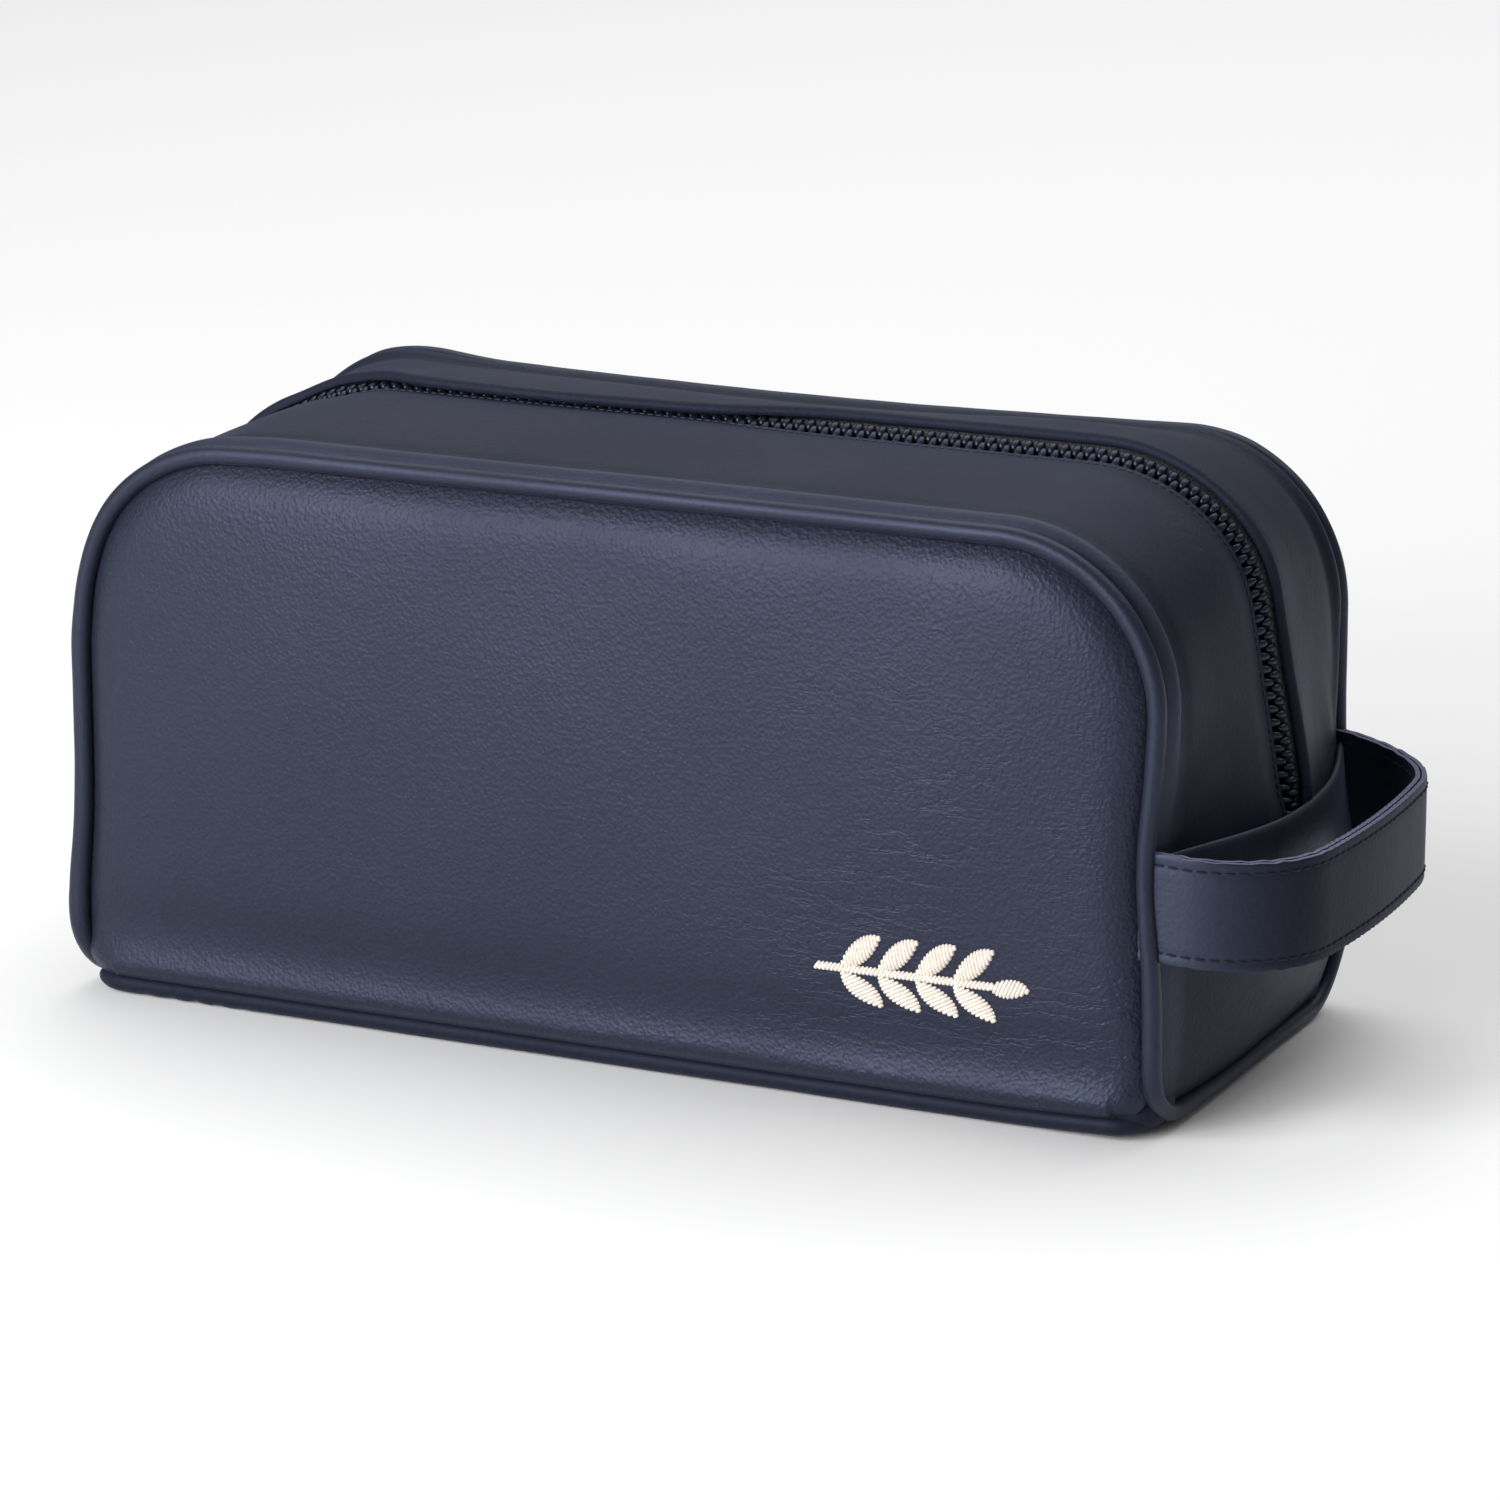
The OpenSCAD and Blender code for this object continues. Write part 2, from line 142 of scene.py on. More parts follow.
def grid_quads(n, m, wrap=False):
    """Quads of an n by m grid of points; wrap joins the last column to the first."""
    i, j = np.meshgrid(np.arange(n - 1), np.arange(m if wrap else m - 1), indexing="ij")
    k = (j + 1) % m
    return np.stack([i * m + j, i * m + k, (i + 1) * m + k, (i + 1) * m + j], -1).reshape(-1, 4)


def capped_quads(n, m):
    """Quads of a tube of n rings of m points, with a flat cap of quads at each end."""
    k = np.arange(m // 2 - 1)
    first = np.stack([k, k + 1, m - 2 - k, m - 1 - k], -1)
    last = first[:, ::-1] + (n - 1) * m
    return np.concatenate([grid_quads(n, m, wrap=True), first, last])


def run_along(line):
    """Distance along a line at each of its points."""
    return np.concatenate([[0.0], np.cumsum(np.linalg.norm(np.diff(line, axis=0), axis=1))])


def read_at(where, run, values):
    """Rows of values read at distances along a line whose own rows stand at run."""
    return np.stack([np.interp(where, run, values[:, k]) for k in range(3)], -1)


def outward(points, faces):
    """Turns every face over if the closed surface's volume comes out negative."""
    a, b, c = points[faces[:, 0]], points[faces[:, 1]], points[faces[:, 2]]
    volume = np.einsum("ij,ij->i", a, np.cross(b, c)).sum()
    if faces.shape[1] == 4:
        d = points[faces[:, 3]]
        volume += np.einsum("ij,ij->i", a, np.cross(c, d)).sum()
    return faces if volume > 0 else faces[:, ::-1]


def stand(name, data):
    """A new object in the scene."""
    obj = bpy.data.objects.new(name, data)
    bpy.context.scene.collection.objects.link(obj)
    return obj


def make_piece(name, points, faces, finish, soft_edges=math.radians(50)):
    """Puts points in millimetres and faces of one corner count into a mesh object."""
    points = points.reshape(-1, 3)
    faces = outward(points, faces)
    corners = faces.shape[1]
    mesh = bpy.data.meshes.new(name)
    mesh.vertices.add(len(points))
    mesh.vertices.foreach_set("co", (points * MM).astype(np.float32).ravel())
    mesh.loops.add(faces.size)
    mesh.loops.foreach_set("vertex_index", faces.astype(np.int32).ravel())
    mesh.polygons.add(len(faces))
    mesh.polygons.foreach_set("loop_start", np.arange(0, faces.size, corners, dtype=np.int32))
    mesh.polygons.foreach_set("use_smooth", np.ones(len(faces), bool))
    mesh.update(calc_edges=True)
    mesh.validate()
    if soft_edges:
        mesh.set_sharp_from_angle(angle=soft_edges)
    obj = stand(name, mesh)
    mesh.materials.append(finish)
    return obj


def shell(outer, inner):
    """Points and quads of the closed body between two grids of the same shape."""
    n, m = outer.shape[:2]
    count = n * m
    quads = grid_quads(n, m)
    index = np.arange(count).reshape(n, m)
    ring = np.concatenate([index[0, :-1], index[:-1, -1], index[-1, :0:-1], index[:0:-1, 0]])
    after = np.roll(ring, -1)
    rim = np.stack([ring, ring + count, after + count, after], -1)
    faces = np.concatenate([quads, quads[:, ::-1] + count, rim])
    return np.concatenate([outer.reshape(-1, 3), inner.reshape(-1, 3)]), faces


def body_shell(name, outer, inner, finish, **kept):
    """The closed body between two grids, settled with the bag, as a piece."""
    points, faces = shell(settle(outer), settle(inner))
    return make_piece(name, points, faces, finish, **kept)


def swept(path, side, section, scale=None):
    """A closed section carried along a path, with a flat cap at each end.

    A ring is path + a * side + b * up, where (a, b) is the section and up is tangent x side.
    scale multiplies the section at each path point.
    """
    tangent = unit(np.gradient(path, axis=0))
    up = unit(np.cross(tangent, side))
    side = unit(np.cross(up, tangent))
    size = np.ones(len(path)) if scale is None else scale
    a = section[None, :, 0] * size[:, None]
    b = section[None, :, 1] * size[:, None]
    rings = path[:, None] + a[..., None] * side[:, None] + b[..., None] * up[:, None]
    return rings, capped_quads(len(path), len(section))


def round_section(radius, sides=16):
    a = (np.arange(sides) + 0.5) * 2 * math.pi / sides
    return np.stack([radius * np.cos(a), radius * np.sin(a)], -1)


def repeated(template, faces, at, axes):
    """Copies of a small shape: point = at + sum of template coordinates times the copy's three axes."""
    points = at[:, None] + np.einsum("vk,nkd->nvd", template, axes)
    offset = (np.arange(len(at)) * len(template))[:, None, None]
    return points.reshape(-1, 3), (faces[None] + offset).reshape(-1, faces.shape[1])


def capsule(length, radius, sides=6, arc=0.0):
    """A thread along the first axis with rounded ends; arc lifts its middle along the third axis."""
    t = np.array([-1.0, -0.86, -0.4, 0.0, 0.4, 0.86, 1.0])
    r = np.array([0.35, 0.85, 1.0, 1.0, 1.0, 0.85, 0.35]) * radius
    a = (np.arange(sides) + 0.5) * 2 * math.pi / sides
    x = np.repeat(t[:, None] * length / 2, sides, 1)
    y = r[:, None] * np.cos(a)[None]
    z = r[:, None] * np.sin(a)[None] + arc * (1 - t[:, None] ** 2)
    return np.stack([x, y, z], -1).reshape(-1, 3), capped_quads(len(t), sides)


def stitches(line, off, pitch, length, radius, lift=0.0):
    """A row of thread stitches at even spacing along a line of points; off is the surface normal there.
    Returns the thread, its faces, and the place and axes of each copy."""
    run = run_along(line)
    where = np.arange(0.5 * pitch, run[-1] - 0.4 * pitch, pitch)
    at = read_at(where, run, line)
    out = unit(read_at(where, run, off))
    along = unit(read_at(where + 0.3, run, line) - at)
    across = unit(np.cross(out, along))
    out = unit(np.cross(along, across))
    template, faces = capsule(length, radius, arc=STITCH_ARC)
    at = at + out * lift
    return template, faces, at, np.stack([along, across, out], 1)


# ---- The outline that the gusset, piping and zip follow ----

def outline(low, step=1.4):
    """The side outline from low on the right end, up, over and down the left end.

    Straight runs and two quarter circles; returns points in the plane y = 0 and outward normals.
    """
    rise = np.linspace(low, CORNER_Z, max(int((CORNER_Z - low) / step), 2), endpoint=False)
    turn = np.linspace(0.0, math.pi / 2, int(CORNER_R * 1.7 / step), endpoint=False)
    top = np.linspace(CORNER_X, -CORNER_X, int(2 * CORNER_X / step), endpoint=False)
    x = np.concatenate([0 * rise + HALF_LEN, CORNER_X + CORNER_R * np.cos(turn), top,
                        -CORNER_X - CORNER_R * np.sin(turn), 0 * rise - HALF_LEN, [-HALF_LEN]])
    z = np.concatenate([rise, CORNER_Z + CORNER_R * np.sin(turn), 0 * top + TOP_Z,
                        CORNER_Z + CORNER_R * np.cos(turn), CORNER_Z + low - rise, [low]])
    nx = np.concatenate([0 * rise + 1, np.cos(turn), 0 * top, -np.sin(turn), 0 * rise - 1, [-1.0]])
    nz = np.concatenate([0 * rise, np.sin(turn), 0 * top + 1, np.cos(turn), 0 * rise, [0.0]])
    return place(x, 0 * x, z), place(nx, 0 * nx, nz)


def on_gusset(base, normal, y, lift):
    """base + normal * (bulge(y) + lift), moved to depth y; y and lift run across, base along."""
    out = bulge_at(y) + lift
    points = base[:, None] + normal[:, None] * out[..., None]
    points[..., 1] = y
    return points


# ---- Finishes ----

LEATHER_TINT = (0.58, 0.66, 1.0)
LEATHER_SHEEN = (0.40, 0.46, 0.85, 1.0)


def new_finish(name):
    """A material, its node tree, its shader and the Object coordinates."""
    finish = bpy.data.materials.new(name)
    finish.use_nodes = True
    tree = finish.node_tree
    shader = next(n for n in tree.nodes if n.type == "BSDF_PRINCIPLED")
    return finish, tree, shader, add(tree, "ShaderNodeTexCoord").outputs["Object"]


def add(tree, kind, **values):
    """A node with its sockets or settings set by name."""
    node = tree.nodes.new(kind)
    for key, value in values.items():
        if hasattr(node, key):
            setattr(node, key, value)
        else:
            node.inputs[key.replace("_", " ")].default_value = value
    return node


def noise(tree, where, scale, detail, roughness=0.5):
    node = add(tree, "ShaderNodeTexNoise", Scale=scale, Detail=detail, Roughness=roughness)
    tree.links.new(where, node.inputs["Vector"])
    return node


def mapped(tree, where, scale, turn):
    """Coordinates stretched by scale and turned about the depth axis."""
    node = add(tree, "ShaderNodeMapping", Scale=scale, Rotation=(0.0, turn, 0.0))
    tree.links.new(where, node.inputs["Vector"])
    return node.outputs[0]


def math_of(tree, operation, first, second):
    node = add(tree, "ShaderNodeMath", operation=operation)
    tree.links.new(first, node.inputs[0])
    tree.links.new(second, node.inputs[1])
    return node.outputs[0]


def ramp(tree, source, *stops):
    """A colour ramp on a value, with (position, colour) stops; a single number is a grey."""
    node = tree.nodes.new("ShaderNodeValToRGB")
    while len(node.color_ramp.elements) < len(stops):
        node.color_ramp.elements.new(0.5)
    for element, (position, colour) in zip(node.color_ramp.elements, stops):
        element.position = position
        element.color = (*colour, 1.0) if isinstance(colour, tuple) else (colour, colour, colour, 1.0)
    tree.links.new(source, node.inputs[0])
    return node.outputs[0]


def bumped(tree, height, distance, strength, under=None):
    """A bump over another bump's normal; distance is the height in metres."""
    node = add(tree, "ShaderNodeBump", Distance=distance, Strength=strength)
    tree.links.new(height, node.inputs["Height"])
    if under is not None:
        tree.links.new(under, node.inputs["Normal"])
    return node.outputs[0]


def shades(colour, amount):
    """The colour darkened and lightened by a share, kept at 1 or less."""
    return tuple(c * (1.0 - amount) for c in colour), tuple(min(c * (1.0 + amount), 1.0) for c in colour)


def leather_finish(name, colour, rough=0.47, gloss=0.5, grain=1.0, creases=0.5, sheen=0.06,
                   lines=False, polish_axis=None, polish_from=0.0, polish_to=1.0, polish_level=0.7):
    """Smooth dyed calf leather: a worm-like pebble, short streaks, faint creases and a slow change
    of shade. lines adds the wavy pulls that cross the right part of the front; polish_axis makes
    the leather glossier towards one side, from polish_level to gloss between two positions."""
    finish, tree, shader, where = new_finish(name)
    link = tree.links.new
    warp = noise(tree, where, 420.0, 2.0)
    bend = add(tree, "ShaderNodeVectorMath", operation="MULTIPLY_ADD")
    link(warp.outputs["Color"], bend.inputs[0])
    bend.inputs[1].default_value = (0.0012, 0.0012, 0.0012)
    link(where, bend.inputs[2])
    bent = bend.outputs[0]
    pebble = add(tree, "ShaderNodeTexVoronoi", feature="SMOOTH_F1", Scale=1050.0, Smoothness=0.5)
    link(bent, pebble.inputs["Vector"])
    streak = noise(tree, mapped(tree, bent, (1.0, 1.0, 0.5), 0.35), 1000.0, 3.0, 0.6)
    cloud = noise(tree, where, 9.0, 5.0, 0.55)
    patchy = noise(tree, where, 22.0, 3.0)
    dark, pale = shades(colour, 0.12)
    tint = add(tree, "ShaderNodeMix", data_type="RGBA", blend_type="MULTIPLY")
    tint.inputs["Factor"].default_value = 0.85
    link(ramp(tree, cloud.outputs["Fac"], (0.32, dark), (0.68, pale)), tint.inputs["A"])
    link(ramp(tree, streak.outputs["Fac"], (0.35, 0.84), (0.65, 1.16)), tint.inputs["B"])
    link(tint.outputs["Result"], shader.inputs["Base Color"])
    worn = ramp(tree, patchy.outputs["Fac"], (0.3, rough + 0.05), (0.7, rough - 0.04))
    link(worn, shader.inputs["Roughness"])
    shader.inputs["Specular IOR Level"].default_value = gloss
    shader.inputs["Specular Tint"].default_value = (*LEATHER_TINT, 1.0)
    shader.inputs["Sheen Weight"].default_value = sheen
    shader.inputs["Sheen Roughness"].default_value = 0.5
    shader.inputs["Sheen Tint"].default_value = LEATHER_SHEEN
    apart = add(tree, "ShaderNodeSeparateXYZ")
    link(where, apart.inputs[0])
    if polish_axis is not None:
        level = add(tree, "ShaderNodeMapRange")
        level.inputs["From Min"].default_value = polish_from
        level.inputs["From Max"].default_value = polish_to
        level.inputs["To Min"].default_value = polish_level
        level.inputs["To Max"].default_value = gloss
        link(apart.outputs[polish_axis], level.inputs["Value"])
        link(level.outputs["Result"], shader.inputs["Specular IOR Level"])
    crack = noise(tree, mapped(tree, bent, (0.30, 0.8, 1.5), 0.12), 130.0, 4.0, 0.6)
    line = ramp(tree, crack.outputs["Fac"], (0.465, 1.0), (0.50, 0.0), (0.535, 1.0))
    only = ramp(tree, patchy.outputs["Fac"], (0.44, 1.0), (0.60, 0.0))
    faint = math_of(tree, "MAXIMUM", line, only)
    if lines:
        across = ramp(tree, apart.outputs[0], (0.018, 1.0), (0.070, 0.0))
        upward = ramp(tree, apart.outputs[2], (0.012, 1.0), (0.022, 0.0), (0.086, 0.0), (0.112, 1.0))
        faint = math_of(tree, "MAXIMUM", faint, math_of(tree, "MAXIMUM", across, upward))
    normal = bumped(tree, pebble.outputs["Distance"], 0.00022, 0.60 * grain)
    normal = bumped(tree, streak.outputs["Fac"], 0.00024, 0.60 * grain, normal)
    normal = bumped(tree, faint, 0.00030, creases, normal)
    link(bumped(tree, patchy.outputs["Fac"], 0.0020, 0.35, normal), shader.inputs["Normal"])
    return finish


def cloth_finish(name, colour, threads=2400.0, rough=0.85):
    """Plain weave: fine waves along the three axes of Object coordinates, with a noisy shade."""
    finish, tree, shader, where = new_finish(name)
    link = tree.links.new
    height = None
    for direction in ("X", "Z", "Y"):
        wave = add(tree, "ShaderNodeTexWave", bands_direction=direction, Distortion=0.6,
                   Scale=threads / 6.2832)
        link(where, wave.inputs["Vector"])
        rise = wave.outputs["Fac"]
        height = rise if height is None else math_of(tree, "ADD", height, rise)
    cloud = noise(tree, where, 40.0, 5.0)
    dark, pale = tuple(c * 0.84 for c in colour), tuple(c * 1.12 for c in colour)
    link(ramp(tree, cloud.outputs["Fac"], (0.3, dark), (0.7, pale)), shader.inputs["Base Color"])
    shader.inputs["Roughness"].default_value = rough
    shader.inputs["Sheen Weight"].default_value = 0.2
    link(bumped(tree, height, 0.00012, 0.6), shader.inputs["Normal"])
    return finish


def plain_finish(name, colour, rough, metal=0.0, spots=90.0, depth=0.00006, tint=(1.0, 1.0, 1.0)):
    """A moulded, cast or cut surface with a slow change of shade and a fine uneven skin."""
    finish, tree, shader, where = new_finish(name)
    link = tree.links.new
    cloud = noise(tree, where, spots, 4.0)
    dark, pale = shades(colour, 0.15)
    link(ramp(tree, cloud.outputs["Fac"], (0.3, dark), (0.7, pale)), shader.inputs["Base Color"])
    worn = ramp(tree, cloud.outputs["Fac"], (0.3, rough + 0.05), (0.7, rough - 0.05))
    link(worn, shader.inputs["Roughness"])
    shader.inputs["Metallic"].default_value = metal
    shader.inputs["Specular Tint"].default_value = (*tint, 1.0)
    skin = noise(tree, where, spots * 22.0, 3.0)
    link(bumped(tree, skin.outputs["Fac"], depth, 0.5), shader.inputs["Normal"])
    return finish


NAVY = (0.0095, 0.0107, 0.0185)
panel_leather = leather_finish("panel_leather", NAVY, rough=0.48, gloss=0.46, creases=0.42, lines=True)
gusset_leather = leather_finish("gusset_leather", NAVY, rough=0.57, gloss=0.22, grain=0.4, creases=0.2,
                                polish_axis=1, polish_from=-0.051, polish_to=-0.044)
strap_skin = leather_finish("strap_skin", NAVY, rough=0.50, gloss=0.10, grain=0.4, creases=0.0,
                            polish_axis=0, polish_from=0.142, polish_to=0.162)
piping_skin = leather_finish("piping_skin", NAVY, rough=0.47, gloss=0.46, grain=0.35, creases=0.0)
base_roll_skin = leather_finish("base_roll_skin", NAVY, rough=0.55, gloss=0.18, grain=0.35, creases=0.0)
raw_edge = plain_finish("raw_edge", (0.150, 0.155, 0.250), 0.85, spots=1300.0, depth=0.0005)
thread_navy = plain_finish("thread_navy", (0.005, 0.006, 0.011), 0.7, spots=700.0, tint=LEATHER_TINT)
thread_pale = plain_finish("thread_pale", (0.030, 0.033, 0.055), 0.6, spots=700.0, tint=LEATHER_TINT)
thread_cream = plain_finish("thread_cream", (0.76, 0.685, 0.615), 0.66, spots=1500.0, depth=0.0001)
lining_weave = cloth_finish("lining_weave", (0.075, 0.088, 0.15))
tape_weave = cloth_finish("tape_weave", (0.022, 0.024, 0.036), threads=5200.0, rough=0.75)
tooth_gloss = plain_finish("tooth_gloss", (0.010, 0.011, 0.018), 0.27, spots=300.0, tint=LEATHER_TINT)
nickel = plain_finish("nickel", (0.20, 0.20, 0.22), 0.28, metal=1.0, spots=120.0)
core_finish = plain_finish("core_finish", (0.72, 0.70, 0.66), 0.7, spots=200.0)
board_finish = plain_finish("board_finish", (0.32, 0.25, 0.17), 0.9, spots=150.0, depth=0.0003)


# ---- Front and back: crowned, padded leather ----

def edge_distance(x, z):
    """Distance in from the rounded outline of a panel: the least of the four sides' distances,
    eased together, and the distance to the arc inside each corner's square."""
    ax = np.abs(x)
    half = HALF_LEN - PANEL_EDGE
    top = TOP_Z - PANEL_EDGE
    sides = np.stack([half - ax, top - z, 2.0 * (z - PANEL_FOOT)])
    soft = 2.0
    near = -soft * np.log(np.exp(-sides / soft).sum(axis=0))
    upper_r = CORNER_R - PANEL_EDGE
    upper = upper_r - np.hypot(ax - CORNER_X, z - CORNER_Z)
    lower = FOOT_R - np.hypot(ax - (half - FOOT_R), z - (PANEL_FOOT + FOOT_R))
    near = np.where((ax > CORNER_X) & (z > CORNER_Z), np.minimum(upper, near + 3), near)
    near = np.where((ax > half - FOOT_R) & (z < PANEL_FOOT + FOOT_R), np.minimum(lower, near + 3), near)
    return np.maximum(near, 0.0)


def crown_at(x, z):
    """How far a panel stands out past the seam plane: steep at the edge, 1 - exp(-distance / 4),
    then slow, a parabola each way, with shallow waves of the padding and a foot that flares out."""
    d = edge_distance(x, z)
    steep = 4.9 * (1.0 - np.exp(-(d / 4.2) ** 1.2))
    slow = 4.0 * (1.0 - (x / HALF_LEN) ** 4) * (1.0 - ((z - 74.0) / 74.0) ** 2)
    waves = 0.30 * np.sin(x / 31.0 + 1.2) * np.sin(z / 22.0 + 0.4) + 0.18 * np.sin(x / 13.0 - z / 17.0)
    foot = 1.5 * bump_at(z, 7.0, 4.5) - 1.0 * bump_at(z, 18.0, 8.0) * ease(0.0, 9.0, d)
    return steep + slow + waves * ease(2.0, 16.0, d) + foot - 1.6


def panel_rows():
    """Heights and half-widths of the rows of a panel's grid: even steps up the sides, even angles
    round the four corners, and half-widths that follow the outline."""
    half = HALF_LEN - PANEL_EDGE
    upper_r = CORNER_R - PANEL_EDGE
    a = np.linspace(-math.pi / 2 + 0.02, 0.0, 14, endpoint=False)
    low_z = PANEL_FOOT + FOOT_R + FOOT_R * np.sin(a)
    low_w = half - FOOT_R + FOOT_R * np.cos(a)
    rise = np.linspace(PANEL_FOOT + FOOT_R, CORNER_Z, 64, endpoint=False)
    b = np.linspace(0.0, math.pi / 2 - 0.012, 46)
    high_z = CORNER_Z + upper_r * np.sin(b)
    high_w = CORNER_X + upper_r * np.cos(b)
    return np.concatenate([low_z, rise, high_z]), np.concatenate([low_w, 0 * rise + half, high_w])


def padded_panel(name, side, finish):
    """A crowned closed panel: the outer face stands crown_at past the seam plane and the back is flat."""
    z, width = panel_rows()
    t = np.sin(np.linspace(-1.0, 1.0, 231) * 1.35) / math.sin(1.35)
    x = width[:, None] * t[None]
    z = z[:, None] + 0.0 * x
    outer = place(x, side * (HALF_DEP + crown_at(x, z)), z)
    inner = place(x, side * (HALF_DEP - 3.4) + 0.0 * x, z)
    obj = body_shell(name, outer, inner, finish, soft_edges=math.radians(70))
    return obj


def folding(obj, wall, slot, *nodes):
    """Bakes the piece's transform into its mesh and hides the CAD parts it stands for."""
    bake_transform(obj)
    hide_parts(*nodes)


def riding(obj, body, slot, *nodes):
    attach(obj, body)
    if nodes:
        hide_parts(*nodes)


for wall, side in WALLS:
    panel = padded_panel(f"{wall}_panel", side, panel_leather)
    folding(panel, f"{wall}_wall", "navy_leather", f"{wall}_panel_lower", f"{wall}_panel_upper",
            f"{wall}_padding_lower", f"{wall}_padding_upper")


# ---- Gussets: over the top from one end to the other, seam to zip ----

def seam_roll(depth, z):
    """The puffy roll beside the piping: 3 exp(-|(depth - 51.6) / 2.6|^3) on a step 0.9 lower,
    fuller along the top than down the ends, where it dies away."""
    fade = 0.12 + 0.88 * ease(66.0, 108.0, z)
    roll = 3.0 * np.exp(-np.abs((depth - 51.6) / 2.6) ** 3)
    return fade * (roll - 0.9 * ease(42.0, 49.0, depth))


def slider_room(x, z):
    """1 beside the slider's run up the left end, easing to 0 over the left top corner."""
    return ease(100.0, 128.0, -x) * ease(112.0, 84.0, z)


def closed_over(x, z):
    """1 where the back lip lies over the teeth along the left half of the top, 0 elsewhere."""
    return ease(34.0, -8.0, x) * ease(-104.0, -70.0, x) * ease(118.0, 132.0, z)


def zip_lean(x, z):
    """Angle the zip leans towards the front: ZIP_LEAN over the top and right end, 0 at the slider."""
    under_patch = np.where(x > 0.0, ease(56.0, 70.0, z), 1.0)
    return ZIP_LEAN * (1.0 - slider_room(x, z)) * (1.0 - 0.5 * closed_over(x, z)) * under_patch


def leaned(depth, x, z, side, spread):
    """Rise of the gusset beside the leaning zip: side * tan(lean) * 2.8, easing to 0 at spread."""
    return side * np.tan(zip_lean(x, z)) * 2.8 * np.minimum(depth / 2.8, ease(spread, 2.8, depth))


def gusset(wall, side):
    """Leather from the seam to the zip. Its outer row is the bulged side plus the seam roll; the
    front edge is cut flat and the back edge turns under in a round lip.

    Near the zip the row's depth is moved by ease(30, 9, depth) times the gap that the slider needs
    on the left end, less the push of the back lip where it lies over the teeth.
    """
    base, normal = outline(TAIL_Z)
    rear = side > 0
    if rear:
        u = np.linspace(0.0, 1.0, 46)
        lip = np.linspace(0.15, math.pi * 1.12, 13)
        depth = np.concatenate([SEAM_DEPTH - (SEAM_DEPTH - 6.1) * u, 4.5 + 1.6 * np.cos(lip)])
        rise = np.concatenate([0.0 * u, 1.6 * np.sin(lip)])
        inner_depth = np.concatenate([SEAM_DEPTH - (SEAM_DEPTH - 6.0) * u, np.linspace(5.9, 4.4, 13)])
        inner_rise = np.concatenate([0.0 * u - LEATHER, np.linspace(-LEATHER, -0.8, 13)])
    else:
        u = np.linspace(0.0, 1.0, 58) ** 0.9
        depth = SEAM_DEPTH - (SEAM_DEPTH - 2.7) * u
        rise = 0.2 * bump_at(depth, 2.7, 1.2)
        inner_depth = depth
        inner_rise = rise - LEATHER
    x, z = base[:, 0][:, None], base[:, 2][:, None]
    room = 2.6 * slider_room(x, z)
    push = closed_over(x, z) if rear else 0.0 * x

    def moved(d):
        return d + ease(30.0, 8.0, d) * (room - (5.8 + 1.9 * bump_at(x, -41.0, 26.0)) * push)

    at_stitch = ZIP_STITCH[wall]
    sunk = -0.3 * bump_at(depth, at_stitch, 0.8)[None]
    wavy = 0.35 * np.sin(x / 17.0 + depth[None] / 9.0) * bump_at(depth[None], 32.0, 12.0)
    fan = np.arctan2(z - 60.0, 57.0 - depth[None])
    span = np.hypot(z - 60.0, 57.0 - depth[None])
    wavy = wavy + 0.30 * np.sin(11.0 * fan) * bump_at(span, 24.0, 11.0) * ease(110.0, 130.0, x)
    over = 0.4 * push * ease(16.0, 6.0, depth[None])
    lean = leaned(depth[None], x, z, side, LEAN_SPREAD[wall])
    rise = rise[None] * np.where(x > 0.0, ease(50.0, 68.0, z), 1.0)
    lift = rise + seam_roll(depth[None], z) * ROLL_SHARE[wall] + sunk + wavy + over + lean
    outer = on_gusset(base, normal, side * moved(depth[None]), lift)
    inner_over = 0.4 * push * ease(16.0, 6.0, inner_depth[None])
    inner_lean = leaned(inner_depth[None], x, z, side, LEAN_SPREAD[wall])
    inner_roll = seam_roll(inner_depth[None], z) * ROLL_SHARE[wall] * 0.6
    inner_lift = inner_rise[None] + inner_roll + inner_over + inner_lean
    inner = on_gusset(base, normal, side * moved(inner_depth[None]), inner_lift)
    obj = body_shell(f"{wall}_gusset_skin", outer, inner, gusset_leather)
    folding(obj, f"{wall}_wall", "navy_leather", f"{wall}_gusset")
    line_depth = moved(np.full_like(x, at_stitch))
    line_lift = 0.02 + 0.4 * push * ease(16.0, 6.0, at_stitch)
    line_lift = line_lift + leaned(np.full_like(x, at_stitch), x, z, side, LEAN_SPREAD[wall])
    line = on_gusset(base, normal, side * line_depth, line_lift)[:, 0]
    template, threads, at, axes = stitches(settle(line), normal, pitch=3.3 if rear else 2.1,
                                           length=1.7 if rear else 1.3, radius=0.17)
    points, threads = repeated(template, threads, at, axes)
    sewn = make_piece(f"{wall}_zip_stitching", points, threads, thread_pale, soft_edges=None)
    folding(sewn, f"{wall}_wall", "navy_leather")


for wall, side in WALLS:
    gusset(wall, side)


# ---- Piping ----

def piping_rings(path, side, radius):
    """A tube along the path whose radius is multiplied by 1 + 0.02 sin(0.31 i) sin(0.123 i + 1)."""
    rings, faces = swept(path, side, round_section(radius, 18))
    run = np.arange(len(path))
    scale = 1.0 + 0.02 * np.sin(run * 0.31) * np.sin(run * 0.123 + 1.0)
    return path[:, None] + (rings - path[:, None]) * scale[:, None, None], faces


